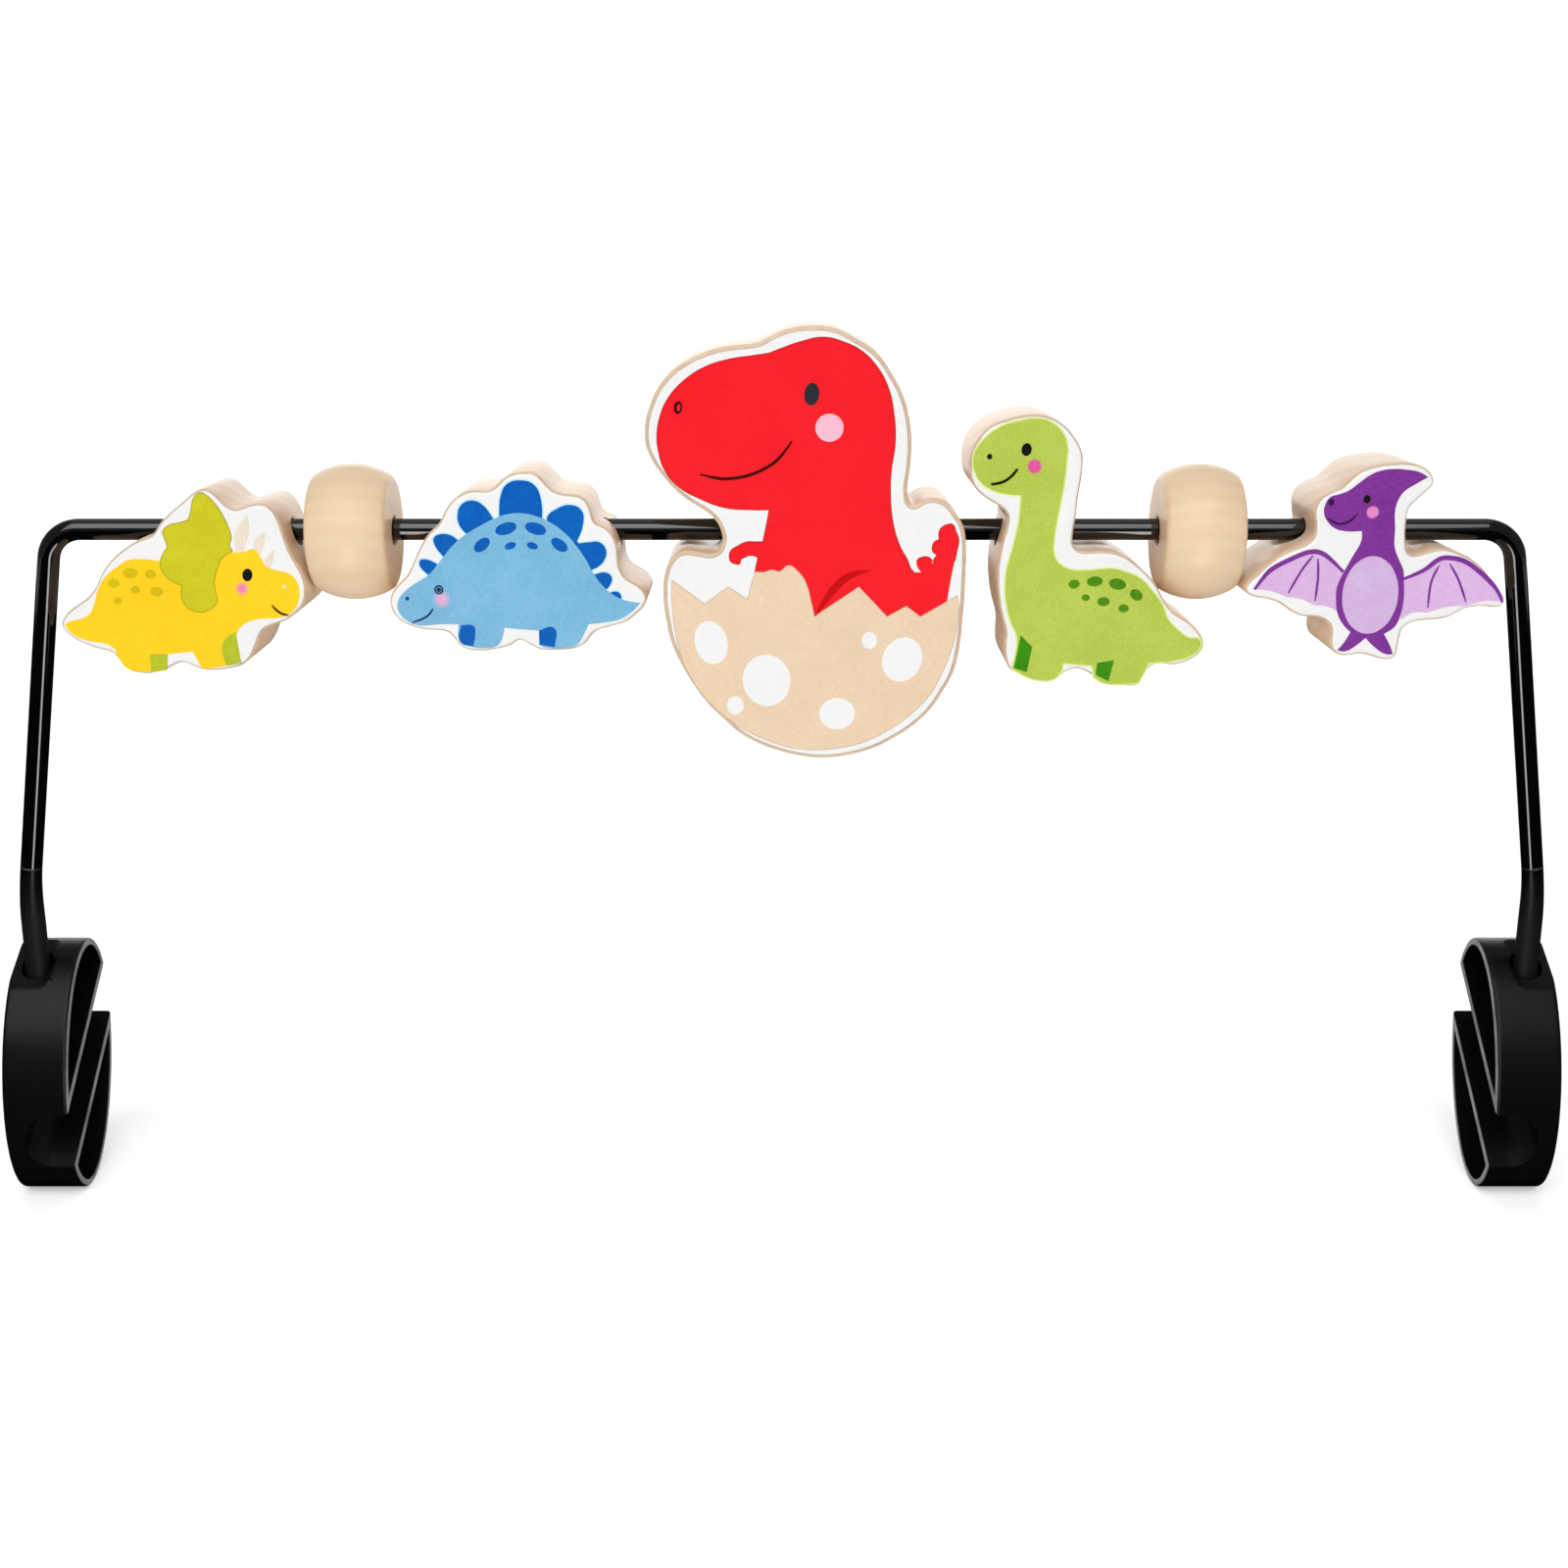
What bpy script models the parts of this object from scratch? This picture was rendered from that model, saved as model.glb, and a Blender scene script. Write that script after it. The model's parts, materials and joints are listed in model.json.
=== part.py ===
"""Bouncer toy bar: an arched steel wire with a snap clip at each end and wooden toys threaded on it.

The frame is +Z up, +X to the right and +Y away from the viewer, in metres. Its origin is the point
midway between the two clips, on the line through the centres of their snap channels.
"""

import math

import bmesh
import bpy
from mathutils import Matrix, Vector

# The wire. The bar is level and each leg splays outward, then bends back upright above its clip.
rod_diameter = 0.0065
rod_corner_radius = 0.010
leg_splay_deg = 8.6
leg_bend_depth = 0.112
leg_bend_radius = 0.110
leg_drop = 0.1373
row_end_room = 0.0058

# The turned-down leg end inside its sleeve, and the push-on washer that keeps the clip on it.
leg_end_diameter = 0.0057
leg_end_proud = 0.0027
sleeve_diameter = 0.0073
sleeve_top_depth = 0.105
collar_diameter = 0.0092
collar_thickness = 0.0015
washer_diameter = 0.0102
washer_thickness = 0.0010

# The clip is an oval band seen from the side, with a channel slanting across its centre.
clip_width = 0.020
clip_depth = 0.044
clip_height = 0.0792
clip_lean_deg = 15.5
clip_wall = 0.0022
clip_web = 0.0018
clip_edge_rounding = 0.0007
channel_gap = 0.0158
channel_reach = 0.014
channel_slant_deg = 37.3
channel_wall = 0.0020
snap_lip = 0.0007
seat_rib = 0.0010

# The flat that carries the leg hole, cut across the top front of the oval.
pad_turn_deg = 60.5
pad_depth = 0.0020
pad_width = 0.0140
pad_corner_radius = 0.0018
hole_inset = 0.0126
hole_off_centre = 0.0019
mouth_diameter = 0.0100
mouth_depth = 0.0060
boss_diameter = 0.0136
boss_room = 0.0045

# The wooden toys. Heights and widths are those of each sawn outline.
toy_thickness = 0.030
toy_rounding = 0.0015
toy_bore_diameter = 0.0084
triceratops_width = 0.0722
triceratops_height = 0.0539
triceratops_bar_share = 0.734
stegosaurus_width = 0.0746
stegosaurus_height = 0.0524
stegosaurus_bar_share = 0.632
tyrannosaurus_width = 0.0926
tyrannosaurus_height = 0.1258
tyrannosaurus_bar_share = 0.522
brachiosaurus_width = 0.0700
brachiosaurus_height = 0.0792
brachiosaurus_bar_share = 0.551
pterosaur_width = 0.0758
pterosaur_height = 0.0575
pterosaur_bar_share = 0.621
bead_diameter = 0.0400
bead_width = 0.0235
bead_face_share = 0.78
bead_edge_share = 0.04
row_gap = 0.0004
tail_clear = 0.0008

# A piece that rests on its neighbour, or goes into it, keeps this much room.
seat_gap = 0.0003
# A cut runs this far past the surface that it breaks through.
overrun = 0.004

round_sides = 24
clip_sides = 56
bead_sides = 32
corner_steps = 7
bend_steps = 5
bead_arc_steps = 9
seat_steps = 14

# Outlines, as shares of each toy's width and height from its lower left corner, read clockwise
# from the leftmost point. The snout of the first toy points right and of the next three left.
triceratops_back_shares = [
    (0, 0.27), (0.015, 0.31), (0.055, 0.36), (0.115, 0.415), (0.15, 0.47), (0.18, 0.545),
    (0.225, 0.62), (0.28, 0.68), (0.345, 0.73), (0.395, 0.755),
]
triceratops_frill_shares = [
    (0.43, 0.815), (0.475, 0.875), (0.535, 0.94), (0.585, 0.99), (0.62, 1), (0.66, 0.975),
    (0.695, 0.925), (0.735, 0.895),
]
triceratops_face_shares = [
    (0.78, 0.91), (0.83, 0.925), (0.87, 0.91), (0.905, 0.845), (0.925, 0.755), (0.945, 0.665),
    (0.975, 0.585), (0.995, 0.52), (1, 0.455), (0.99, 0.39), (0.955, 0.33), (0.905, 0.285),
    (0.84, 0.255), (0.81, 0.225),
]
triceratops_feet_shares = [
    (0.79, 0.17), (0.76, 0.09), (0.725, 0.045), (0.665, 0.02), (0.56, 0.015), (0.52, 0.035),
    (0.475, 0.055), (0.43, 0.03), (0.37, 0), (0.285, 0), (0.245, 0.025), (0.22, 0.07),
    (0.195, 0.11), (0.145, 0.13), (0.075, 0.165), (0.025, 0.21), (0.005, 0.245),
]
stegosaurus_face_shares = [
    (0, 0.255), (0.005, 0.32), (0.035, 0.38), (0.07, 0.43), (0.1, 0.51), (0.13, 0.595),
    (0.165, 0.665), (0.205, 0.72),
]
stegosaurus_plate_shares = [
    (0.23, 0.79), (0.265, 0.85), (0.31, 0.89), (0.355, 0.9), (0.4, 0.9), (0.43, 0.925),
    (0.465, 0.97), (0.505, 0.995), (0.545, 1), (0.585, 0.99), (0.615, 0.95), (0.65, 0.9),
    (0.695, 0.88), (0.735, 0.875), (0.775, 0.845), (0.795, 0.785), (0.81, 0.725),
    (0.85, 0.695), (0.88, 0.645), (0.895, 0.57), (0.9, 0.48),
]
stegosaurus_tail_shares = [
    (0.925, 0.415), (0.97, 0.375), (1, 0.325), (1, 0.275), (0.965, 0.215), (0.92, 0.165),
    (0.85, 0.135), (0.795, 0.105),
]
stegosaurus_feet_shares = [
    (0.76, 0.045), (0.72, 0.015), (0.66, 0.005), (0.575, 0.01), (0.535, 0.04), (0.5, 0.06),
    (0.47, 0.035), (0.41, 0.01), (0.345, 0), (0.275, 0.02), (0.25, 0.06), (0.22, 0.105),
    (0.135, 0.12), (0.07, 0.145), (0.025, 0.185),
]
tyrannosaurus_head_shares = [
    (0, 0.75), (0.02, 0.83), (0.065, 0.885), (0.125, 0.92), (0.18, 0.94), (0.255, 0.955),
    (0.32, 0.96), (0.355, 0.965), (0.395, 0.98), (0.45, 0.995), (0.515, 1), (0.585, 0.995),
    (0.655, 0.97), (0.715, 0.94), (0.765, 0.89), (0.8, 0.84), (0.82, 0.78), (0.825, 0.73),
    (0.82, 0.675), (0.815, 0.62),
]
tyrannosaurus_tail_shares = [
    (0.83, 0.6), (0.86, 0.61), (0.895, 0.615), (0.935, 0.605), (0.965, 0.58), (0.99, 0.55),
    (1, 0.505),
]
tyrannosaurus_shell_shares = [
    (1, 0.425), (0.995, 0.335), (0.97, 0.21), (0.935, 0.16), (0.9, 0.12), (0.845, 0.08),
    (0.785, 0.05), (0.72, 0.025), (0.655, 0.01), (0.55, 0), (0.485, 0.005), (0.425, 0.015),
    (0.3, 0.055), (0.245, 0.09), (0.19, 0.13), (0.145, 0.175), (0.105, 0.225), (0.075, 0.275),
    (0.06, 0.325), (0.05, 0.395), (0.06, 0.45), (0.09, 0.485), (0.125, 0.495),
]
tyrannosaurus_chin_shares = [
    (0.175, 0.49), (0.215, 0.49), (0.235, 0.51), (0.235, 0.535), (0.215, 0.565),
    (0.175, 0.59), (0.13, 0.61), (0.06, 0.66), (0.015, 0.71),
]
brachiosaurus_head_shares = [
    (0, 0.81), (0.005, 0.865), (0.03, 0.91), (0.075, 0.955), (0.14, 0.98), (0.205, 0.995),
    (0.265, 1), (0.325, 0.99), (0.385, 0.96), (0.43, 0.915), (0.46, 0.865), (0.465, 0.815),
    (0.46, 0.76), (0.45, 0.695), (0.445, 0.635), (0.435, 0.565), (0.44, 0.525), (0.47, 0.505),
]
brachiosaurus_back_shares = [
    (0.53, 0.505), (0.61, 0.5), (0.665, 0.48), (0.725, 0.44), (0.78, 0.39), (0.825, 0.325),
    (0.865, 0.28), (0.93, 0.245), (0.98, 0.2), (1, 0.16),
]
brachiosaurus_feet_shares = [
    (0.985, 0.125), (0.935, 0.095), (0.88, 0.08), (0.795, 0.08), (0.76, 0.05), (0.73, 0.005),
    (0.68, 0), (0.615, 0.005), (0.57, 0.02), (0.52, 0.05), (0.47, 0.065), (0.42, 0.05),
    (0.375, 0.02), (0.31, 0.02), (0.245, 0.04), (0.19, 0.065),
]
brachiosaurus_chest_shares = [
    (0.165, 0.13), (0.165, 0.21), (0.145, 0.275), (0.13, 0.35), (0.125, 0.42), (0.13, 0.48),
    (0.145, 0.55), (0.16, 0.6), (0.16, 0.635), (0.14, 0.66), (0.085, 0.69), (0.03, 0.73),
    (0.005, 0.77),
]
pterosaur_crest_shares = [
    (0.69, 0.915), (0.67, 0.96), (0.615, 0.995), (0.545, 1), (0.48, 0.99), (0.415, 0.965),
    (0.375, 0.925), (0.34, 0.88), (0.305, 0.86), (0.265, 0.825), (0.245, 0.77), (0.25, 0.7),
    (0.25, 0.64),
]
pterosaur_left_wing_shares = [
    (0.22, 0.595), (0.165, 0.565), (0.1, 0.515), (0.04, 0.44), (0, 0.38), (0.005, 0.345),
    (0.08, 0.315), (0.13, 0.295), (0.175, 0.255), (0.225, 0.225), (0.28, 0.22), (0.32, 0.2),
]
pterosaur_feet_shares = [
    (0.34, 0.155), (0.34, 0.1), (0.355, 0.045), (0.4, 0.02), (0.46, 0.03), (0.51, 0.015),
    (0.56, 0), (0.595, 0.015), (0.605, 0.065), (0.61, 0.12), (0.62, 0.165),
]
pterosaur_right_wing_shares = [
    (0.66, 0.195), (0.725, 0.205), (0.79, 0.22), (0.855, 0.265), (0.93, 0.275), (0.985, 0.275),
    (1, 0.31), (0.99, 0.34), (0.94, 0.42), (0.875, 0.505), (0.8, 0.555), (0.75, 0.57),
    (0.695, 0.56), (0.645, 0.54), (0.615, 0.55), (0.605, 0.59), (0.6, 0.72), (0.605, 0.77),
    (0.625, 0.805), (0.665, 0.855), (0.69, 0.895),
]


def clear_scene():
    for obj in list(bpy.data.objects):
        bpy.data.objects.remove(obj, do_unlink=True)


def new_collection(name):
    collection = bpy.data.collections.new(name)
    bpy.context.scene.collection.children.link(collection)
    return collection


def new_material(name, colour, roughness, metallic=0.0):
    material = bpy.data.materials.new(name)
    material.use_nodes = True
    shader = material.node_tree.nodes["Principled BSDF"]
    shader.inputs["Base Color"].default_value = (*colour, 1.0)
    shader.inputs["Roughness"].default_value = roughness
    shader.inputs["Metallic"].default_value = metallic
    return material


def mesh_object(name, build, collection):
    """A new object whose mesh the function build fills."""
    mesh = bpy.data.meshes.new(name)
    bm = bmesh.new()
    build(bm)
    bm.to_mesh(mesh)
    bm.free()
    obj = bpy.data.objects.new(name, mesh)
    collection.objects.link(obj)
    return obj


def cylinder(name, radius, length, matrix, collection, sides=None):
    """A cylinder about its own Z axis, centred on the matrix's place."""

    def build(bm):
        bmesh.ops.create_cone(
            bm,
            cap_ends=True,
            segments=sides or round_sides,
            radius1=radius,
            radius2=radius,
            depth=length,
            matrix=matrix,
        )

    return mesh_object(name, build, collection)


def as_mesh(curve_object, collection):
    """Swaps a curve object for a welded mesh object of the same name and place."""
    bpy.context.view_layer.update()
    graph = bpy.context.evaluated_depsgraph_get()
    name = curve_object.name
    place = curve_object.matrix_world.copy()
    mesh = bpy.data.meshes.new_from_object(curve_object.evaluated_get(graph))
    curve = curve_object.data
    bpy.data.objects.remove(curve_object, do_unlink=True)
    bpy.data.curves.remove(curve)
    bm = bmesh.new()
    bm.from_mesh(mesh)
    bmesh.ops.remove_doubles(bm, verts=bm.verts, dist=rod_diameter / 10000)
    bmesh.ops.recalc_face_normals(bm, faces=bm.faces)
    bm.to_mesh(mesh)
    bm.free()
    mesh.materials.clear()
    obj = bpy.data.objects.new(name, mesh)
    obj.matrix_world = place
    collection.objects.link(obj)
    return obj


def curve_object(name, dimensions, collection):
    curve = bpy.data.curves.new(name, "CURVE")
    curve.dimensions = dimensions
    obj = bpy.data.objects.new(name, curve)
    collection.objects.link(obj)
    return obj


def prism(name, outline, thickness, matrix, collection):
    """A straight-sided slab: the outline lies in the matrix's XY plane, half the slab either side."""
    obj = curve_object(name, "2D", collection)
    obj.data.fill_mode = "BOTH"
    obj.data.extrude = thickness / 2
    spline = obj.data.splines.new("POLY")
    spline.points.add(len(outline) - 1)
    for point, (x, y) in zip(spline.points, outline):
        point.co = (x, y, 0, 1)
    spline.use_cyclic_u = True
    obj.matrix_world = matrix
    return as_mesh(obj, collection)


def swept_tube(name, path, radii, collection):
    """A round bar along a path, with a radius at each of its points."""
    obj = curve_object(name, "3D", collection)
    widest = max(radii)
    obj.data.bevel_depth = widest
    obj.data.bevel_resolution = 4
    obj.data.use_fill_caps = True
    spline = obj.data.splines.new("POLY")
    spline.points.add(len(path) - 1)
    for point, place, radius in zip(spline.points, path, radii):
        point.co = (*place, 1)
        point.radius = radius / widest
    return as_mesh(obj, collection)


def combine(obj, other, operation):
    modifier = obj.modifiers.new(other.name, "BOOLEAN")
    modifier.operation = operation
    modifier.solver = "EXACT"
    modifier.object = other


def hide_helper(obj):
    obj.hide_render = True
    obj.display_type = "WIRE"


def cut(obj, cutter):
    hide_helper(cutter)
    combine(obj, cutter, "DIFFERENCE")


def join(obj, other):
    hide_helper(other)
    combine(obj, other, "UNION")


def finish(obj, material, smooth_deg=35.0):
    obj.data.materials.append(material)
    obj.data.shade_smooth()
    obj.data.set_sharp_from_angle(angle=math.radians(smooth_deg))


def pivot(name, place, collection):
    """An empty on a joint's axis, which carries the moving piece."""
    empty = bpy.data.objects.new(name, None)
    empty.location = place
    empty.empty_display_size = rod_diameter
    collection.objects.link(empty)
    bpy.context.view_layer.update()
    return empty


def hang_on(obj, empty):
    """Parents a finished piece to the empty and leaves it where it is."""
    obj.parent = empty
    obj.matrix_parent_inverse = empty.matrix_world.inverted()


def arc(centre, start, turn, steps):
    """Points from start round centre, in the plane square to Y, through the given turn."""
    spoke = start - centre
    return [
        centre + Matrix.Rotation(turn * step / steps, 3, "Y") @ spoke for step in range(steps + 1)
    ]


# The clip's own axes: depth runs away from the viewer and up follows the oval's long axis.
lean = math.radians(clip_lean_deg)
clip_in = Vector((0, math.cos(lean), -math.sin(lean)))
clip_up = Vector((0, math.sin(lean), math.cos(lean)))


def on_clip(depth, height):
    """Where a point of the oval's side view lies, with the oval's centre at the origin."""
    return clip_in * depth + clip_up * height


pad_turn = math.radians(pad_turn_deg)
pad_touch = on_clip(-clip_depth / 2 * math.cos(pad_turn), clip_height / 2 * math.sin(pad_turn))
pad_normal = on_clip(-math.cos(pad_turn) / clip_depth, math.sin(pad_turn) / clip_height).normalized()
pad_along = Vector((1, 0, 0)).cross(pad_normal)
if pad_along.z < 0:
    pad_along = -pad_along
pad_centre = pad_touch - pad_normal * pad_depth
hole_mouth = pad_centre - pad_along * hole_off_centre

# The channel slants across the oval. The boss under the leg hole stops short of the channel's
# upper wall, which leaves room for the washer and for the end of the leg.
slant = math.radians(channel_slant_deg)
channel_along = on_clip(math.sin(slant), math.cos(slant))
channel_across = on_clip(math.cos(slant), -math.sin(slant))
wall_distance = channel_gap / 2 + channel_wall
washer_edge_y = hole_mouth.y + washer_diameter / 2
wall_top_z = -(wall_distance + channel_across.y * washer_edge_y) / channel_across.z
boss_reach = hole_mouth.z - wall_top_z - boss_room
leg_end_reach = boss_reach + seat_gap + washer_thickness + leg_end_proud

# The row of toys, from the leftmost, sets the length of the bar.
hang = (toy_bore_diameter - rod_diameter) / 2 - seat_gap
bead_radius = bead_diameter / 2
bead_face_radius = bead_radius * bead_face_share


def share_where_below(shares, level):
    """The share of the width at which a falling line of points first goes below a level."""
    for (x0, z0), (x1, z1) in zip(shares, shares[1:]):
        if z0 >= level > z1:
            return x0 + (x1 - x0) * (z0 - level) / (z0 - z1)
    return shares[-1][0]


tail_level = brachiosaurus_bar_share - (bead_face_radius + hang + tail_clear) / brachiosaurus_height
tail_free_width = brachiosaurus_width * share_where_below(brachiosaurus_back_shares, tail_level)
row_steps = [
    ("triceratops", triceratops_width),
    ("left_bead", bead_width),
    ("stegosaurus", stegosaurus_width),
    ("tyrannosaurus", tyrannosaurus_width),
    ("brachiosaurus", tail_free_width - row_gap),
    ("right_bead", bead_width),
    ("pterosaur", pterosaur_width),
]
row_length = sum(width for _, width in row_steps) + row_gap * (len(row_steps) - 1)
row_start = {}
reached = -row_length / 2
for step_name, step_width in row_steps:
    row_start[step_name] = reached
    reached += step_width + row_gap

half_span = row_length / 2 + row_end_room
splay = math.radians(leg_splay_deg)
leg_x = half_span + leg_bend_depth * math.tan(splay)
bar_y = hole_mouth.y
bar_z = hole_mouth.z + leg_drop
clip_inner_x = leg_x - hole_inset


def fillet(before, corner, after, radius, steps):
    """The rounded corner of a path, as points from one straight run to the next."""
    back = (before - corner).normalized()
    ahead = (after - corner).normalized()
    half = back.angle(ahead) / 2
    start = corner + back * radius / math.tan(half)
    centre = corner + (back + ahead).normalized() * radius / math.sin(half)
    turn = math.pi - 2 * half
    if back.cross(ahead).y > 0:
        turn = -turn
    return arc(centre, start, turn, steps)


def leg_path(side, end_depth):
    """The leg's centre line from the bar's corner down to a depth below the bar."""
    top = Vector((0, bar_y, bar_z))
    corner = Vector((side * half_span, bar_y, bar_z))
    bend = Vector((side * leg_x, bar_y, bar_z - leg_bend_depth))
    end = Vector((side * leg_x, bar_y, bar_z - end_depth))
    points = fillet(top, corner, bend, rod_corner_radius, corner_steps)
    points += fillet(corner, bend, end, leg_bend_radius, bend_steps)
    points.append(end)
    return points


def part_below(path, depth):
    """The end of a path that lies more than a depth below the bar, starting exactly there."""
    level = bar_z - depth
    for index, (upper, lower) in enumerate(zip(path, path[1:])):
        if upper.z >= level > lower.z:
            start = upper.lerp(lower, (upper.z - level) / (upper.z - lower.z))
            return [start] + path[index + 1 :]
    return path


def build_rod(collection):
    end_depth = leg_drop + leg_end_reach
    shoulder = sleeve_top_depth - seat_gap
    shoulder_step = (rod_diameter - leg_end_diameter) / 2
    path, radii = [], []
    for side in (-1, 1):
        whole = leg_path(side, end_depth)
        thin = part_below(whole, shoulder)
        thick_end = part_below(whole, shoulder - shoulder_step)[0]
        thick = [point for point in whole if point.z > thick_end.z] + [thick_end]
        points = thick + thin
        sizes = [rod_diameter / 2] * len(thick) + [leg_end_diameter / 2] * len(thin)
        path += points[::-1] if side < 0 else points
        radii += sizes[::-1] if side < 0 else sizes
    rod = swept_tube("toy_bar_rod", path, radii, collection)
    finish(rod, new_material("black_coated_steel", (0.012, 0.012, 0.013), 0.22, 0.3), 50.0)


def build_sleeve(side, name, collection, cutters):
    whole = leg_path(side, leg_drop + boss_reach)
    path = part_below(whole, sleeve_top_depth)
    sleeve = swept_tube(name, path, [sleeve_diameter / 2] * len(path), collection)
    collar_top = leg_drop + mouth_depth - seat_gap - collar_thickness
    collar_place = Vector((side * leg_x, bar_y, bar_z - collar_top - collar_thickness / 2))
    collar = cylinder(
        name + "_collar",
        collar_diameter / 2,
        collar_thickness,
        Matrix.Translation(collar_place),
        cutters,
    )
    join(sleeve, collar)
    first = path[0] + (path[0] - path[1]).normalized() * overrun
    last = path[-1] + (path[-1] - path[-2]).normalized() * overrun
    bore_path = [first] + path[1:-1] + [last]
    bore_radius = leg_end_diameter / 2 + seat_gap
    bore = swept_tube(name + "_bore", bore_path, [bore_radius] * len(bore_path), cutters)
    cut(sleeve, bore)
    finish(sleeve, new_material(name + "_vinyl", (0.022, 0.022, 0.023), 0.62), 50.0)


def build_washer(side, name, collection, cutters):
    depth = leg_drop + boss_reach + seat_gap + washer_thickness / 2
    place = Matrix.Translation((side * leg_x, bar_y, bar_z - depth))
    washer = cylinder(name, washer_diameter / 2, washer_thickness, place, collection)
    hole_radius = leg_end_diameter / 2 + seat_gap
    hole = cylinder(name + "_hole", hole_radius, washer_thickness + overrun, place, cutters)
    cut(washer, hole)
    finish(washer, new_material(name + "_steel", (0.45, 0.45, 0.46), 0.35, 1.0))


def ellipse_points(half_depth, half_height):
    turns = [2 * math.pi * (step + 0.5) / clip_sides for step in range(clip_sides)]
    return [(half_depth * math.cos(turn), half_height * math.sin(turn)) for turn in turns]


def keep_beyond(points, normal, distance):
    """The part of a convex outline that lies further than a distance along a direction."""
    kept = []
    for (x0, y0), (x1, y1) in zip(points, points[1:] + points[:1]):
        far0 = x0 * normal[0] + y0 * normal[1] - distance
        far1 = x1 * normal[0] + y1 * normal[1] - distance
        if far0 >= 0:
            kept.append((x0, y0))
        if far0 * far1 < 0:
            share = far0 / (far0 - far1)
            kept.append((x0 + (x1 - x0) * share, y0 + (y1 - y0) * share))
    return kept


def side_view(x):
    """The matrix of a slab whose outline is drawn as (depth, height) at a distance along X."""
    across = clip_in.cross(clip_up)
    place = Vector((x, 0, 0))
    return Matrix.Translation(place) @ Matrix((clip_in, clip_up, across)).transposed().to_4x4()


def channel_section(side):
    """The open side of the channel and its round seat, as (distance along X, distance across)."""
    radius = channel_gap / 2
    seat_centre = channel_reach - radius
    rib_step = seat_steps // 4
    points = [(-overrun, -radius), (seat_centre - snap_lip * 2, -radius)]
    points.append((seat_centre, snap_lip - radius))
    for step in range(1, seat_steps + 1):
        turn = math.pi * (step / seat_steps - 0.5)
        reach = radius - seat_rib if step == rib_step else radius
        points.append((seat_centre + reach * math.cos(turn), reach * math.sin(turn)))
    points.append((-overrun, radius))
    return [(side * (clip_inner_x + x), y) for x, y in points]


def build_clip(side, name, collection, cutters):
    half_depth, half_height = clip_depth / 2, clip_height / 2
    middle_x = side * (clip_inner_x + clip_width / 2)

    outline = ellipse_points(half_depth, half_height)
    clip = prism(name, outline, clip_width, side_view(middle_x), collection)
    bevel = clip.modifiers.new("edge rounding", "BEVEL")
    bevel.width = clip_edge_rounding
    bevel.segments = 2
    bevel.limit_method = "ANGLE"
    bevel.angle_limit = math.radians(60)
    round_caps(clip)

    # The pockets either side of the channel leave the band, a slanting wall and an outer web.
    boss_centre = hole_mouth - Vector((0, 0, boss_reach / 2))
    boss_place = Matrix.Translation((side * leg_x, boss_centre.y, boss_centre.z))
    boss = cylinder(
        name + "_boss", boss_diameter / 2, boss_reach + 2 * overrun, boss_place, cutters
    )
    boss.location.z += overrun
    hide_helper(boss)
    inner = ellipse_points(half_depth - clip_wall, half_height - clip_wall)
    pocket_depth = clip_width - clip_web + overrun
    pocket_x = side * (clip_inner_x - overrun + pocket_depth / 2)
    for place, sign in (("upper", -1), ("lower", 1)):
        across = (sign * math.cos(slant), -sign * math.sin(slant))
        shape = keep_beyond(inner, across, wall_distance)
        pocket = prism(
            name + "_" + place + "_pocket", shape, pocket_depth, side_view(pocket_x), cutters
        )
        if place == "upper":
            cut(pocket, boss)
        cut(clip, pocket)

    channel_frame = Matrix((Vector((1, 0, 0)), channel_across, channel_along)).transposed()
    if channel_frame.determinant() < 0:
        channel_frame = Matrix((Vector((1, 0, 0)), channel_across, -channel_along)).transposed()
    channel = prism(
        name + "_channel", channel_section(side), clip_height, channel_frame.to_4x4(), cutters
    )
    cut(clip, channel)

    pad = prism(name + "_pad", pad_section(side), clip_depth, pad_frame(), cutters)
    cut(clip, pad)

    mouth_place = Matrix.Translation((side * leg_x, hole_mouth.y, hole_mouth.z))
    mouth = cylinder(
        name + "_mouth",
        mouth_diameter / 2,
        mouth_depth + clip_height / 4,
        mouth_place @ Matrix.Translation((0, 0, clip_height / 8 - mouth_depth / 2)),
        cutters,
    )
    cut(clip, mouth)
    bore_diameter = sleeve_diameter + 2 * seat_gap + seat_gap / 3
    bore_length = boss_reach + overrun
    bore = cylinder(
        name + "_bore",
        bore_diameter / 2,
        bore_length,
        mouth_place @ Matrix.Translation((0, 0, -bore_length / 2)),
        cutters,
    )
    cut(clip, bore)
    finish(clip, new_material(name + "_plastic", (0.020, 0.020, 0.022), 0.42))
    hang_on(clip, pivot(name + "_swivel", mouth_place.to_translation(), collection))


def round_caps(obj):
    """Makes each end of a slab one face, so that a Bevel rounds only its rim."""
    bm = bmesh.new()
    bm.from_mesh(obj.data)
    flat = math.radians(0.5)
    bmesh.ops.dissolve_limit(bm, angle_limit=flat, verts=bm.verts, edges=bm.edges)
    bm.to_mesh(obj.data)
    bm.free()


def pad_frame():
    """X across the band and Y out of the pad, on the pad's own centre."""
    frame = Matrix((Vector((1, 0, 0)), pad_normal, Vector((1, 0, 0)).cross(pad_normal)))
    return Matrix.Translation(pad_centre) @ frame.transposed().to_4x4()


def pad_section(side):
    """The block cut away above the pad, with a rounded corner towards the middle of the bar."""
    outer = clip_inner_x + clip_width + overrun
    inner = clip_inner_x + clip_width - pad_width
    top = pad_depth + overrun
    points = [(outer, 0), (outer, top), (inner, top)]
    steps = corner_steps
    for step in range(steps + 1):
        turn = math.pi / 2 * step / steps
        x = inner + pad_corner_radius * (1 - math.cos(turn))
        points.append((x, pad_corner_radius * (1 - math.sin(turn))))
    return [(side * x, y) for x, y in points]


def place_on_bar(name, x, collection):
    return pivot(name + "_turns", (x, bar_y, bar_z), collection)


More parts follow.
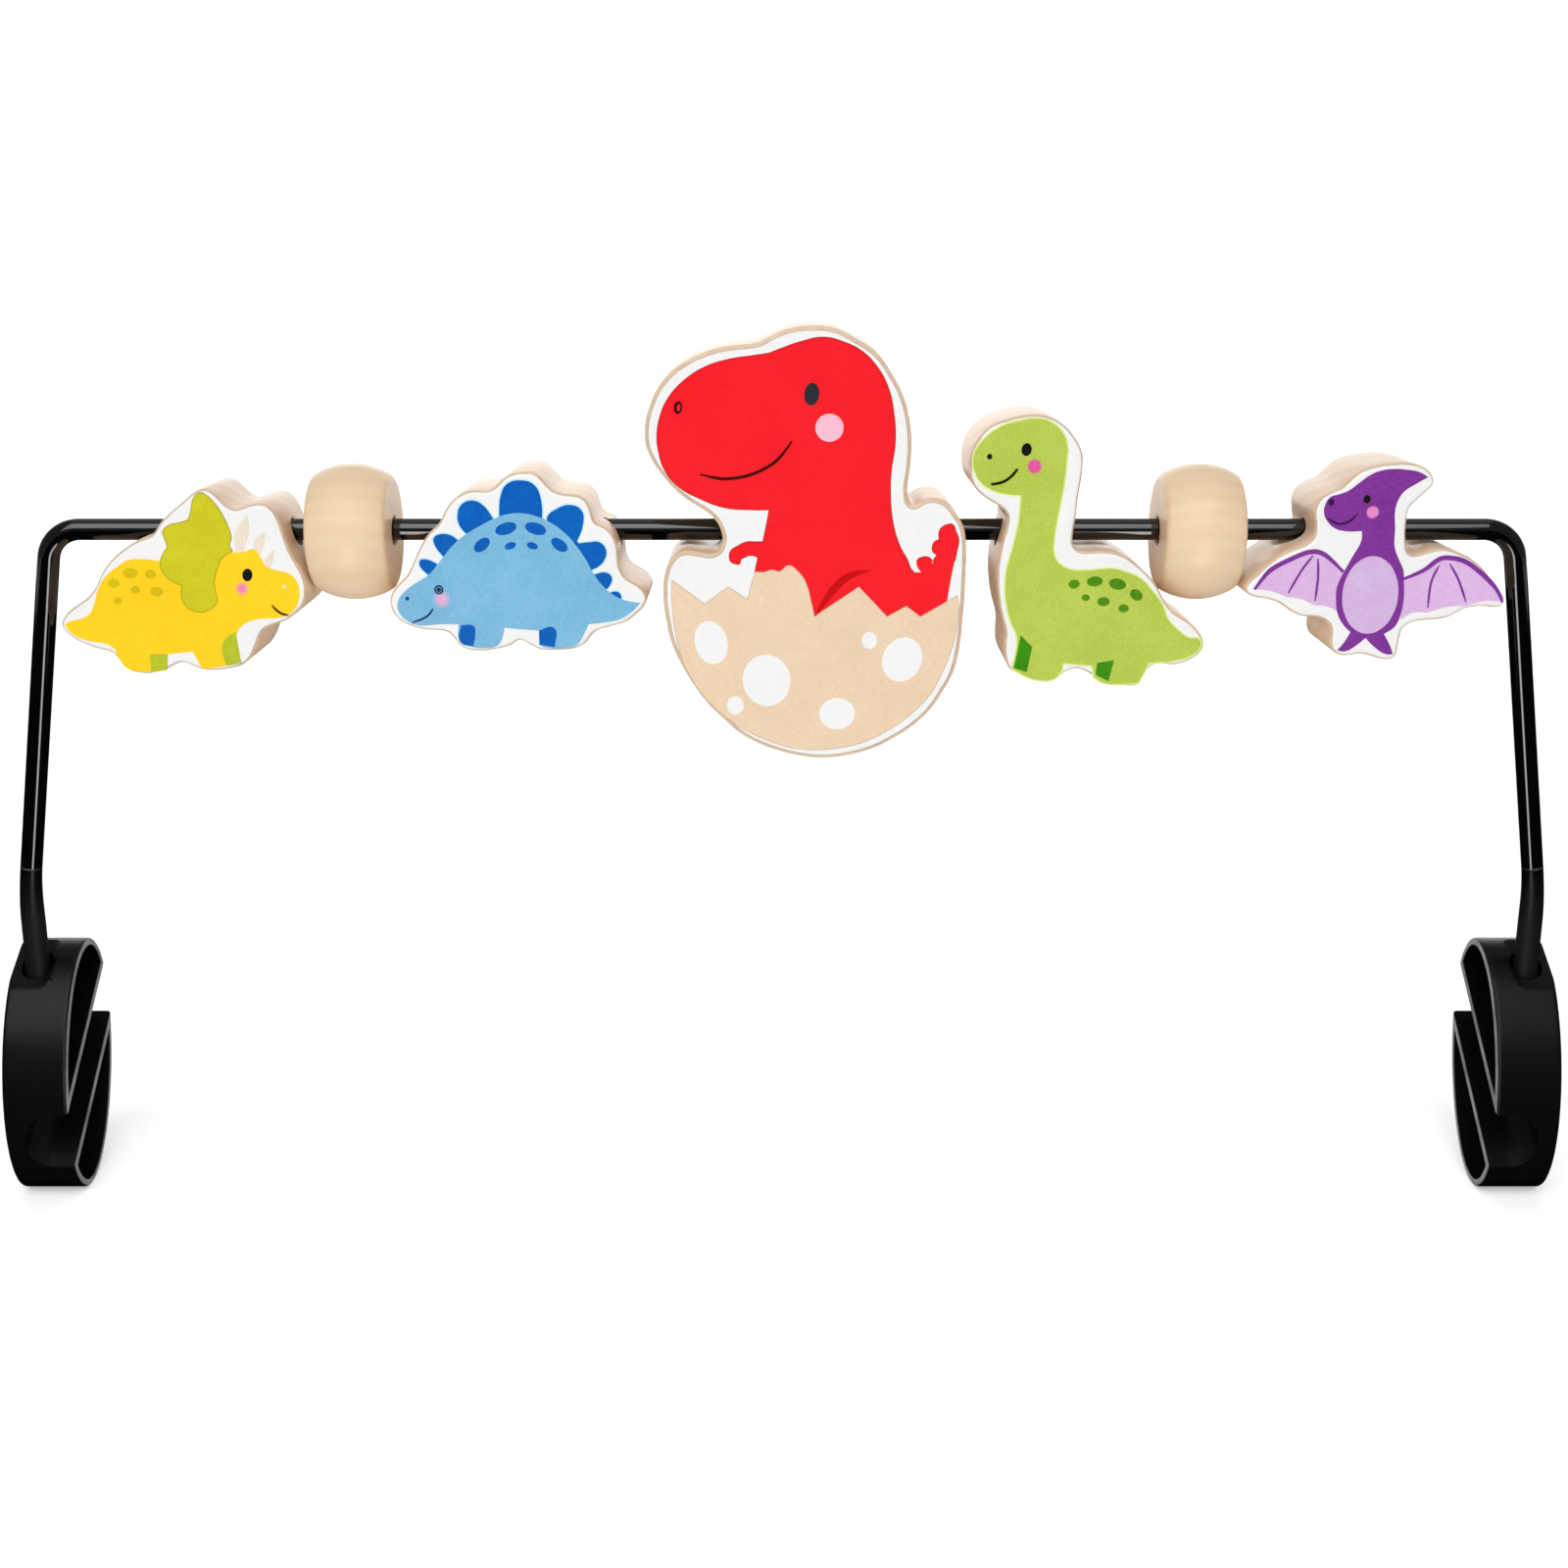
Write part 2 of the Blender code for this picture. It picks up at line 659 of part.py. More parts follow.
def bore_through(obj, name, x, width, cutters):
    """Cuts the hole for the bar along X, low enough for the toy to hang on the bar."""
    place = Matrix.Translation((x, bar_y, bar_z - hang)) @ Matrix.Rotation(math.pi / 2, 4, "Y")
    bore = cylinder(name + "_bore", toy_bore_diameter / 2, width + 2 * overrun, place, cutters)
    cut(obj, bore)


def build_toy(name, shares, width, height, bar_share, colour, collection, cutters):
    """A block sawn to an outline, with softly rounded edges, hung on the bar."""
    left = row_start[name]
    obj = curve_object(name, "2D", collection)
    obj.data.fill_mode = "BOTH"
    obj.data.extrude = toy_thickness / 2 - toy_rounding
    obj.data.bevel_depth = toy_rounding
    obj.data.bevel_resolution = 0
    obj.data.offset = -toy_rounding
    obj.data.resolution_u = 2
    spline = obj.data.splines.new("BEZIER")
    spline.bezier_points.add(len(shares) - 1)
    for point, (x, z) in zip(spline.bezier_points, shares):
        point.co = (width * x, height * z, 0)
        point.handle_left_type = "AUTO"
        point.handle_right_type = "AUTO"
    spline.use_cyclic_u = True
    corner = Matrix.Translation((left, bar_y, bar_z - hang - height * bar_share))
    obj.matrix_world = corner @ Matrix.Rotation(math.pi / 2, 4, "X")
    toy = as_mesh(obj, collection)
    middle = left + width / 2
    bore_through(toy, name, middle, width, cutters)
    finish(toy, new_material(name + "_wood", colour, 0.55))
    hang_on(toy, place_on_bar(name, middle, collection))


def build_bead(name, collection, cutters):
    """A turned barrel with flat ends and a straight bore."""
    half = bead_width / 2
    edge = bead_diameter * bead_edge_share
    rise = bead_radius - bead_face_radius
    # The barrel's side is an arc through the rounded ends and the widest point.
    arc_half = half - edge / 2
    arc_radius = (arc_half**2 + rise**2) / (2 * rise)
    bore_radius = toy_bore_diameter / 2
    points = [(bore_radius, half), (bead_face_radius - edge, half)]
    for step in range(bead_arc_steps + 1):
        height = arc_half - 2 * arc_half * step / bead_arc_steps
        width = bead_radius - arc_radius + math.sqrt(arc_radius**2 - height**2)
        points.append((width, height))
    points += [(bead_face_radius - edge, -half), (bore_radius, -half)]

    def build(bm):
        verts = [bm.verts.new((x, 0, z)) for x, z in points]
        for first, second in zip(verts, verts[1:] + verts[:1]):
            bm.edges.new((first, second))

    bead = mesh_object(name, build, collection)
    screw = bead.modifiers.new("turned", "SCREW")
    screw.axis = "Z"
    screw.steps = bead_sides
    screw.render_steps = bead_sides
    screw.use_merge_vertices = True
    screw.merge_threshold = seat_gap / 10
    screw.use_smooth_shade = True
    middle = row_start[name] + half
    place = Matrix.Translation((middle, bar_y, bar_z - hang))
    bead.matrix_world = place @ Matrix.Rotation(math.pi / 2, 4, "Y")
    bead.data.materials.append(new_material(name + "_wood", (0.80, 0.62, 0.42), 0.35))
    hang_on(bead, place_on_bar(name, middle, collection))


def main():
    clear_scene()
    parts = new_collection("bouncer_toy_bar")
    cutters = new_collection("cutters")
    build_rod(parts)
    for side, word in ((-1, "left"), (1, "right")):
        build_sleeve(side, word + "_leg_sleeve", parts, cutters)
        build_clip(side, word + "_clip", parts, cutters)
        build_washer(side, word + "_push_on_washer", parts, cutters)
    build_toy(
        "triceratops",
        triceratops_back_shares
        + triceratops_frill_shares
        + triceratops_face_shares
        + triceratops_feet_shares,
        triceratops_width,
        triceratops_height,
        triceratops_bar_share,
        (0.92, 0.62, 0.03),
        parts,
        cutters,
    )
    build_toy(
        "stegosaurus",
        stegosaurus_face_shares
        + stegosaurus_plate_shares
        + stegosaurus_tail_shares
        + stegosaurus_feet_shares,
        stegosaurus_width,
        stegosaurus_height,
        stegosaurus_bar_share,
        (0.22, 0.50, 0.72),
        parts,
        cutters,
    )
    build_toy(
        "tyrannosaurus",
        tyrannosaurus_head_shares
        + tyrannosaurus_tail_shares
        + tyrannosaurus_shell_shares
        + tyrannosaurus_chin_shares,
        tyrannosaurus_width,
        tyrannosaurus_height,
        tyrannosaurus_bar_share,
        (0.90, 0.03, 0.04),
        parts,
        cutters,
    )
    build_toy(
        "brachiosaurus",
        brachiosaurus_head_shares
        + brachiosaurus_back_shares
        + brachiosaurus_feet_shares
        + brachiosaurus_chest_shares,
        brachiosaurus_width,
        brachiosaurus_height,
        brachiosaurus_bar_share,
        (0.42, 0.60, 0.10),
        parts,
        cutters,
    )
    build_toy(
        "pterosaur",
        pterosaur_crest_shares
        + pterosaur_left_wing_shares
        + pterosaur_feet_shares
        + pterosaur_right_wing_shares,
        pterosaur_width,
        pterosaur_height,
        pterosaur_bar_share,
        (0.28, 0.05, 0.33),
        parts,
        cutters,
    )
    build_bead("left_bead", parts, cutters)
    build_bead("right_bead", parts, cutters)


main()
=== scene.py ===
"""Bouncer toy bar: the finished pieces and their finishes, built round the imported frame.

The frame is +Z up, +X to the right and +Y away from the viewer, in metres, with its origin midway
between the two clips. Each finished piece has its place in its mesh and its object at the origin.
"""

import json
import math

import bmesh
import bpy
from mathutils import Matrix, Vector

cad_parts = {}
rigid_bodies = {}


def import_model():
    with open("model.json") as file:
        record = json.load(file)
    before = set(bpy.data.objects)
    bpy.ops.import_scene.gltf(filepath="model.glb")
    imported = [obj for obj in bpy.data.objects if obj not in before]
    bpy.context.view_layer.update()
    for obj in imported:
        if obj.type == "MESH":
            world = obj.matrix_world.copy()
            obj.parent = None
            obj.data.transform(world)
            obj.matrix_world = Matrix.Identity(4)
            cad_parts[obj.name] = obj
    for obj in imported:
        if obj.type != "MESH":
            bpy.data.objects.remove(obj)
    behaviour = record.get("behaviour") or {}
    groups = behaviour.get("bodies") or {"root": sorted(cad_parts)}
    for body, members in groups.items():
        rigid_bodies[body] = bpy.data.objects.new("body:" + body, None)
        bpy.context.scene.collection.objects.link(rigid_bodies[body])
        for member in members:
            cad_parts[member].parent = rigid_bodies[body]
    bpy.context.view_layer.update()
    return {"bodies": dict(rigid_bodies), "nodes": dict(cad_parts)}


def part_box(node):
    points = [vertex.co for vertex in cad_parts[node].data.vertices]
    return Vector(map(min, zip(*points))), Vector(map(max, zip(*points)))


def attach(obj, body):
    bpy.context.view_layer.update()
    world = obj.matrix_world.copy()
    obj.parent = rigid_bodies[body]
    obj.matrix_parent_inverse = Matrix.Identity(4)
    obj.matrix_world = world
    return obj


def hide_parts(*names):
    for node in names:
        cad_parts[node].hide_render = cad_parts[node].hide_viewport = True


bl_info = {
    "name": "Bouncer toy bar",
    "version": (1, 0, 0),
    "blender": (4, 5, 0),
    "location": "View3D > Sidebar > Toy bar",
    "description": "Builds a bouncer toy bar with printed wooden blocks, beads and snap clips",
    "category": "Object",
}

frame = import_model()

MM = 0.001
WELD = 0.002 * MM  # points nearer to each other than this become one
SEAT_GAP = 0.3 * MM  # room between a piece and the one that it sits on or in
OVERRUN = 5 * MM  # how far a cutter stands out of what it cuts
HOLE_CUT_RISE = 20 * MM  # how far the leg hole's cutters reach above its mouth
QUARTER_TURN = math.radians(90)
SIDES = (("left", -1), ("right", 1))

# The photograph's camera: its place and how far it looks down, then its focal length and where
# its optical axis meets the picture, in pixels of a picture this wide.
CAMERA_PLACE = (0.0, -0.603285, 0.259266)
CAMERA_PITCH_DEG = 15.5
FOCAL_PIXELS = 2080.0
AXIS_PIXEL_X = 797.8
PHOTO_PIXELS = 1600

# The clip seen from the side: an oval whose long axis leans, the channel's slant across it and
# the turn round the oval at which the leg's pad is cut.
CLIP_DEPTH = 44 * MM
CLIP_HEIGHT = 79.2 * MM
CLIP_LEAN_DEG = 15.5
CHANNEL_SLANT_DEG = 37.3
PAD_TURN_DEG = 60.5
CLIP_WIDTH = 20 * MM
CLIP_SIDES = 128

# Each toy's width and height, the ink of its body, into which its cheek fades, and the share of
# the cheek's radius that is full pink.
TOY_SIZES = {
    "triceratops": (72.2 * MM, 53.9 * MM),
    "stegosaurus": (74.6 * MM, 52.4 * MM),
    "tyrannosaurus": (92.6 * MM, 125.8 * MM),
    "brachiosaurus": (70.0 * MM, 79.2 * MM),
    "pterosaur": (75.8 * MM, 57.5 * MM),
}
BODY_INKS = {
    "triceratops": "yellow",
    "stegosaurus": "sky",
    "tyrannosaurus": "scarlet",
    "brachiosaurus": "green",
    "pterosaur": "violet",
}
CHEEK_CORES = {"brachiosaurus": 0.72, "pterosaur": 0.72}
SOFT_CHEEK_CORE = 0.35
GROUND_INSET_SHARE = 0.86  # of the block's rounding that the white ground leaves bare

# Printed areas, in percent of each block's width and height from its lower left corner, read
# clockwise. A point marked C is a corner and the others lie on smooth curves.
C = "corner"
TRICERATOPS_BODY = [
    (1.5, 27, C), (5, 29), (9.5, 30.5), (12, 32.5), (14, 37), (16.5, 46.5), (20.5, 54), (25, 58.5),
    (29.5, 62), (36, 62.5), (42.5, 61.5), (57.5, 60), (70.5, 66), (76.5, 66.5), (80, 68), (83, 63),
    (85, 58.5), (89, 56.5), (94, 54.5), (96.5, 51), (97.5, 45.5), (97, 40), (95, 35), (92, 32),
    (88, 30.5), (81, 30), (75.5, 28), (72, 24.5, C), (66, 4, C), (56, 2, C), (54.5, 6.5),
    (52.5, 12, C), (42.5, 10.5, C), (38, 1, C), (30, 1), (25.5, 2.5), (23, 6.5), (21, 13.5, C),
    (18, 16), (10.5, 18), (4.5, 21.5),
]
TRICERATOPS_FRILL = [
    (60.5, 98), (62.5, 97), (65.5, 93), (68.5, 86.5), (70.5, 80), (71.5, 74), (70.5, 70),
    (71.5, 67, C), (67, 63), (65, 57.5), (63.5, 51), (63.5, 45.5), (64, 39.5), (61.5, 36),
    (58, 34), (54.5, 34.5), (51.5, 37), (50, 42.5), (50.5, 48.5, C), (47.5, 50), (44, 54),
    (42.5, 59), (43.5, 64.5), (46, 69, C), (45, 74), (44.5, 77.5), (47, 80.5), (51.5, 82),
    (55, 83.5, C), (56.5, 89), (58, 95.5),
]
TRICERATOPS_HORNS = [
    [(78.5, 87, C), (79, 79), (76, 65.5, C), (73, 66.5, C), (73, 75.5)],
    [(85.5, 77.5, C), (84.5, 70.5), (82.5, 64, C), (80, 67.5, C), (81.5, 74)],
    [(88.5, 68, C), (88, 63), (86, 57, C), (84, 59, C), (85.5, 64)],
]
TRICERATOPS_LEGS = [
    [(70.5, 23, C), (71, 18), (72, 5.5, C), (66, 4, C), (64.5, 13), (66, 18.5)],
    [(35, 10.5, C), (42.5, 10.5, C), (41.5, 1.5, C), (35, 1, C)],
]
STEGOSAURUS_BODY = [
    (3, 25.5), (4, 30.5), (7, 35), (11, 39), (15.5, 43), (20.5, 51), (25.5, 59.5), (30, 65),
    (36.5, 70.5), (42, 74.5), (46, 76.5), (52.5, 77.5), (59, 75.5), (63, 73), (68.5, 67.5),
    (73, 60.5), (77, 52), (80, 44), (83.5, 37), (87.5, 32), (92, 29), (98, 27.5, C), (94.5, 22.5),
    (90, 18.5), (83.5, 16.5), (77.5, 15.5, C), (75.5, 9.5), (72.5, 3.5), (68.5, 2), (61.5, 2),
    (58, 3.5, C), (58, 12, C), (52.5, 12.5), (44.5, 13.5, C), (44, 9.5), (41.5, 3.5), (36.5, 2),
    (32, 2.5), (27, 5.5), (26.5, 15.5, C), (19, 15.5), (10.5, 15), (7, 17), (4, 21),
]
STEGOSAURUS_PLATES = [
    [(12.5, 51), (14.5, 52), (19, 49.5), (20.5, 47.5, C), (17.5, 42.5, C), (15, 44)],
    [(18.5, 64), (21.5, 66), (25.5, 65), (28.5, 61.5, C), (23, 51.5, C), (18.5, 60.5)],
    [(28, 77), (29.5, 82), (33.5, 84.5), (37.5, 82.5), (42.5, 73, C), (32.5, 64, C), (28.5, 71)],
    [(45, 87.5), (47.5, 93.5), (53, 95.5), (58, 93), (60.5, 84.5), (60.5, 71.5, C), (44, 73, C)],
    [(66.5, 80), (72, 82), (76, 79), (76.5, 72), (73.5, 60.5, C), (63, 70.5, C), (62.5, 75)],
    [(78.5, 61.5), (82.5, 61.5), (85, 57.5), (84.5, 52), (82, 48), (78.5, 45.5, C), (72.5, 60.5, C)],
    [(85, 44.5), (87, 42), (86.5, 38), (84, 34, C), (80, 43.5, C)],
    [(88.5, 34), (90, 33), (90.5, 30), (88.5, 29, C), (85.5, 33, C)],
]
STEGOSAURUS_LEGS = [
    [(27.5, 15, C), (32.5, 14.5), (33, 9.5), (32, 3, C), (27, 5.5)],
    [(58, 12, C), (64, 13.5), (64, 2.5, C), (58, 4, C)],
]
TYRANNOSAURUS_BODY = [
    (38.5, 94, C), (42, 95), (48, 96.5), (55, 97.5), (61, 96.5), (66.8, 94.4), (71.4, 91),
    (74.8, 86.5), (76.6, 81), (77.2, 74.5), (76, 67), (76, 61.5), (76.5, 57.5), (77.5, 54), (79.5, 50),
    (81.5, 47.5), (83, 45), (84, 44.5, C), (86, 44.5, C), (85, 45.5), (84.5, 46.5), (85, 47.5),
    (86.5, 48), (88, 48), (89, 47.5), (89.5, 46.5, C), (90, 47.5), (91, 48.5, C), (89.5, 49.5),
    (89.5, 50.5), (90, 51.5), (91.5, 52, C), (91.5, 54), (92.5, 55), (94, 55.5), (95.5, 55.5),
    (96.5, 54), (97.5, 52), (97, 49.5), (95.5, 43.5), (94, 36, C), (86, 31, C), (67, 31, C),
    (51.5, 31, C), (38.5, 41, C), (34, 44.5, C), (34.5, 46.5), (35, 48, C), (33, 48.5), (30.5, 48),
    (29.5, 47.5), (29, 46.5), (28, 46.5), (26.5, 47), (26, 48), (26.5, 49.5), (28.5, 50.5),
    (31.5, 51.5), (34, 51.5), (36.5, 51.5, C), (37.5, 55), (38.5, 59, C), (33, 59), (24.5, 59.5),
    (17, 61.5), (10.5, 64.2), (6.2, 68), (4.3, 72.5), (4, 76), (5, 80), (7.5, 84), (12.5, 88),
    (19, 91), (26.5, 92.7), (33, 93.4),
]
TYRANNOSAURUS_FOLD = [
    (52.5, 34, C), (55, 38), (59.5, 42.5), (63.5, 44.5), (67.5, 45), (70.5, 45, C), (67, 44),
    (63, 42.5), (58.5, 39), (55, 36),
]
TYRANNOSAURUS_SHELL = [
    (8, 42.5, C), (18, 37, C), (25.5, 41, C), (31.5, 38, C), (34, 44.5, C), (37, 44.5), (39, 45),
    (41.5, 44.5, C), (42.5, 45), (44.5, 46), (47.5, 44.5), (49.5, 42.5), (51.5, 37.5),
    (52.5, 34, C), (66.5, 41, C), (75.5, 34, C), (81.5, 36.5, C), (86, 34, C), (97.5, 39, C),
    (98, 36), (97.5, 32), (96, 26.5), (93.5, 21.5), (89.5, 15.7), (84, 11.3), (76.6, 7.2),
    (68.8, 4.3), (61, 2.8), (53.5, 2.3), (45.5, 2.8), (38.8, 4.3), (31.4, 6.8), (24.5, 10.2),
    (19, 14.1), (14.1, 19), (11.2, 23.4), (9.2, 28.8), (8.2, 34), (7.8, 39),
]
BRACHIOSAURUS_BODY = [
    (1.5, 81.5), (2, 86.5), (6, 91.5), (12, 95.5), (19, 97.5), (26.5, 98.5), (32, 97.5), (37, 94),
    (39.5, 89), (39.5, 83.5), (39, 77.5), (38, 70.5), (36.5, 62.5), (35.5, 55.5), (35.5, 50),
    (37.5, 46.5), (42, 44), (48.5, 43.5), (61, 44), (67, 42.5), (72, 40.5), (76.5, 36.5),
    (81, 31.5), (84.5, 25), (89, 21), (93, 18.5), (98, 17.5), (98, 14.5), (94, 11.5), (88.5, 10),
    (77, 9, C), (75, 5), (73, 1.5, C), (65.5, 1), (58.5, 1.5), (54.5, 3.5, C), (53.5, 8, C),
    (47, 8.5), (41, 9, C), (40.5, 6), (37.5, 3), (31, 2.5), (24.5, 4.5), (20, 7, C), (21.5, 14),
    (21.5, 19), (19, 24), (17, 30), (16, 37), (16.5, 44), (19, 53), (21, 62.5), (21.5, 71, C),
    (16, 71.5), (9.5, 73), (4.5, 76), (2.5, 79),
]
BRACHIOSAURUS_LEGS = [
    [(23, 19.5, C), (28, 15, C), (26, 5.5, C), (20.5, 7, C), (22, 14)],
    [(55.5, 9, C), (62.5, 10, C), (60.5, 2, C), (55, 4.5, C)],
]
PTEROSAUR_BODY = [
    (66.5, 93, C), (63, 95.5), (59, 96.5), (53.5, 97), (48, 96), (44.5, 94), (40.5, 90),
    (36.5, 86), (33.5, 84.5), (30, 83), (28.5, 80), (28, 75.5), (29.5, 71), (32.5, 67.5),
    (36.5, 66), (43, 66, C), (43, 61), (40.5, 54), (37.5, 46), (35, 37.5), (35, 31.5), (36, 24),
    (39, 17.5), (41.5, 14.5, C), (39.5, 9.5), (37, 5, C), (40, 4.5), (44.5, 8), (47.5, 11.5, C),
    (50.5, 7.5), (56, 3), (58.5, 3, C), (57.5, 6.5), (54.5, 13.5, C), (58.5, 17.5), (60.5, 25),
    (61, 32), (60.5, 40.5), (60, 46), (58, 51.5), (56, 57.5), (55.5, 67.5), (55, 76.5), (56, 82),
    (58, 86), (62, 89.5),
]
PTEROSAUR_WINGS = [
    [
        (3.5, 36.5, C), (9, 46), (17, 52), (24, 55.5), (29, 54), (39, 44, C), (37, 24.5, C),
        (32, 27.5), (26.5, 28.5, C), (21.5, 31.5), (16, 32.5, C), (10, 35.5),
    ],
    [
        (58.5, 41, C), (67.5, 46), (73, 51.5), (77, 52.5), (83.5, 50.5), (90.5, 44), (96, 37),
        (99, 30, C), (92, 30.5), (85, 28, C), (78, 27.5), (70.5, 24.5, C), (65, 24.5),
        (60.5, 21, C),
    ],
]
PTEROSAUR_BONES = [
    [(3.5, 36.5), (9, 46), (17, 52), (24, 55.5), (29.5, 54), (37, 45.5)],
    [(59, 41), (67.5, 46), (73, 51.5), (77, 52.5), (83.5, 50.5), (90.5, 44), (96, 37), (99, 30)],
]
PTEROSAUR_FINGERS = [
    [(25, 53.5), (21, 46), (16.5, 34.5)],
    [(27, 52), (27.5, 42), (27, 30.5)],
    [(73.5, 48.5), (71, 40), (70.5, 27)],
    [(77.5, 49.5), (81.5, 41), (85, 30)],
]


def area(ink, level, points, rim=None, rim_mm=0.0):
    return {"ink": ink, "level": level, "points": points, "rim": rim, "rim_width": rim_mm * MM}


def oval(ink, level, x, z, width_mm, height_mm, turn_deg=0.0):
    size = (width_mm * MM, height_mm * MM, turn_deg)
    return {"ink": ink, "level": level, "centre": (x, z), "oval": size, "rim": None}


def spots(ink, level, *ovals):
    return [oval(ink, level, *values) for values in ovals]


def pen_line(ink, level, points, width_mm, tip=0.4):
    width = width_mm * MM
    return {"ink": ink, "level": level, "line": points, "width": width, "tip": tip, "rim": None}


# Each toy's print, from the lowest level up. Places are in percent of the block and the sizes of
# ovals, rims and lines in millimetres.
PRINTS = {
    "triceratops": [
        *[area("cream", 1, horn) for horn in TRICERATOPS_HORNS],
        *[area("leaf_lime", 1, leg) for leg in TRICERATOPS_LEGS],
        area("yellow", 2, TRICERATOPS_BODY),
        *[area("leaf_lime", 3, leg) for leg in TRICERATOPS_LEGS],
        area("lime", 4, TRICERATOPS_FRILL, "olive_line", 0.22),
        *spots(
            "olive", 3, (23, 49.5, 3.4, 2.7, 10), (30, 55, 4.4, 3.0, 5), (38, 54.5, 3.3, 2.5, -8),
            (31.5, 46, 2.7, 2.2), (40, 45, 3.8, 2.8), (24, 40, 2.4, 2.0),
        ),
        oval("eye_black", 4, 77, 54, 2.9, 3.7, -12),
        oval("yellow_blush", 4, 74.5, 46.5, 4.6, 4.6),
        oval("cream", 4, 91.5, 47.5, 1.1, 1.1),
        pen_line("line_brown", 4, [(86, 37.5), (88, 34.5), (90, 32.8), (92.5, 32)], 0.65),
    ],
    "stegosaurus": [
        *[area("deep_blue", 1, plate, "pale_sky", 0.4) for plate in STEGOSAURUS_PLATES],
        area("sky", 2, STEGOSAURUS_BODY),
        *[area("deep_blue", 3, leg) for leg in STEGOSAURUS_LEGS],
        *spots(
            "deep_blue", 3, (37, 60, 5.4, 3.2, 40), (46.5, 69, 6.4, 3.4, 18), (58, 69, 6.2, 3.4, -16),
            (67, 60, 5.4, 3.2, -38), (48, 59.5, 3.4, 2.0, 20), (56.5, 59.5, 3.2, 2.0, -18),
        ),
        oval("sky_blush", 4, 20.5, 29.5, 5.6, 5.6),
        oval("eye_slate", 5, 19.5, 35, 2.7, 2.7),
        oval("eye_ring", 6, 19.5, 35, 1.8, 1.8),
        oval("eye_slate", 7, 19.5, 35, 1.3, 1.3),
        oval("line_blue", 4, 7, 30, 1.1, 1.1),
        pen_line("line_blue", 4, [(8.5, 16.5), (12.5, 18.5), (15.2, 21), (17, 24.5)], 0.6),
    ],
    "tyrannosaurus": [
        area("scarlet", 1, TYRANNOSAURUS_BODY, "maroon", 0.22),
        area("fold_red", 2, TYRANNOSAURUS_FOLD),
        area("shell_tan", 3, TYRANNOSAURUS_SHELL, "shell_line", 0.18),
        *spots(
            "white", 4, (20, 28, 9.5, 13.0, 14), (37.5, 19, 14.0, 15.5, 8), (27.5, 13, 5.0, 5.5),
            (60, 11, 10.5, 9.5), (80.5, 24, 11.5, 13.5, -22), (70, 28.5, 4.5, 5.0),
        ),
        oval("eye_grey", 4, 51.5, 85, 4.2, 6.3, -6),
        oval("blush_pink", 4, 57, 77.5, 8.0, 7.9),
        oval("line_maroon", 4, 10.5, 82, 2.4, 3.6, -8),
        oval("scarlet", 5, 10.7, 82, 1.0, 2.0, -8),
        pen_line("line_maroon", 4, [(17, 67), (24.5, 66), (33, 67), (40.5, 70), (45.5, 74.5)], 0.85),
    ],
    "brachiosaurus": [
        area("green", 1, BRACHIOSAURUS_BODY, "pale_green", 0.45),
        *[area("forest", 2, leg) for leg in BRACHIOSAURUS_LEGS],
        *spots(
            "forest_spot", 2, (44.5, 38.5, 3.2, 2.6, 10), (53, 39.5, 4.6, 2.9, 4),
            (62.5, 38.5, 5.0, 3.2, -12), (70.5, 34.5, 4.0, 3.0, -35), (57, 32, 3.6, 2.6),
            (65.5, 29.5, 3.0, 2.4), (49.5, 33.5, 2.4, 1.9),
        ),
        oval("eye_black", 3, 23, 87.5, 2.9, 3.6, -6),
        oval("green_blush", 3, 26.5, 81.5, 4.6, 4.6),
        oval("line_green", 3, 8, 85, 1.5, 1.6),
        pen_line("line_green", 3, [(9, 75), (13.5, 75.8), (17, 77.8), (19.5, 80.5)], 0.8, 0.8),
    ],
    "pterosaur": [
        *[area("wing_violet", 1, wing) for wing in PTEROSAUR_WINGS],
        *[pen_line("violet", 2, finger, 0.7) for finger in PTEROSAUR_FINGERS],
        *[pen_line("violet", 2, bone, 1.4, 0.5) for bone in PTEROSAUR_BONES],
        area("violet", 3, PTEROSAUR_BODY),
        oval("lilac", 4, 48, 33.5, 16.2, 22.8),
        oval("eye_black", 4, 44, 82, 2.0, 2.4),
        oval("violet_blush", 4, 46.5, 75.5, 4.0, 4.0),
        oval("line_plum", 4, 30.5, 80.5, 1.7, 2.0, -10),
        pen_line("line_plum", 4, [(29.5, 72.5), (33.5, 69.8), (37.5, 70.6), (41, 75)], 0.6),
    ],
}


def tone(*channels):
    """A colour given as the eye reads it, 0 to 255, as the linear values that shaders take."""
    shares = [value / 255 for value in channels]
    return tuple(s / 12.92 if s <= 0.04045 else ((s + 0.055) / 1.055) ** 2.4 for s in shares)


def colour_property(name, description, red, green, blue):
    default = tone(red, green, blue)
    return bpy.props.FloatVectorProperty(
        name=name, description=description, default=default, min=0, max=1, size=3, subtype="COLOR"
    )


def length_property(name, description, default_mm):
    default = default_mm * MM
    return bpy.props.FloatProperty(
        name=name, description=description, default=default, min=0.0, unit="LENGTH", precision=4
    )


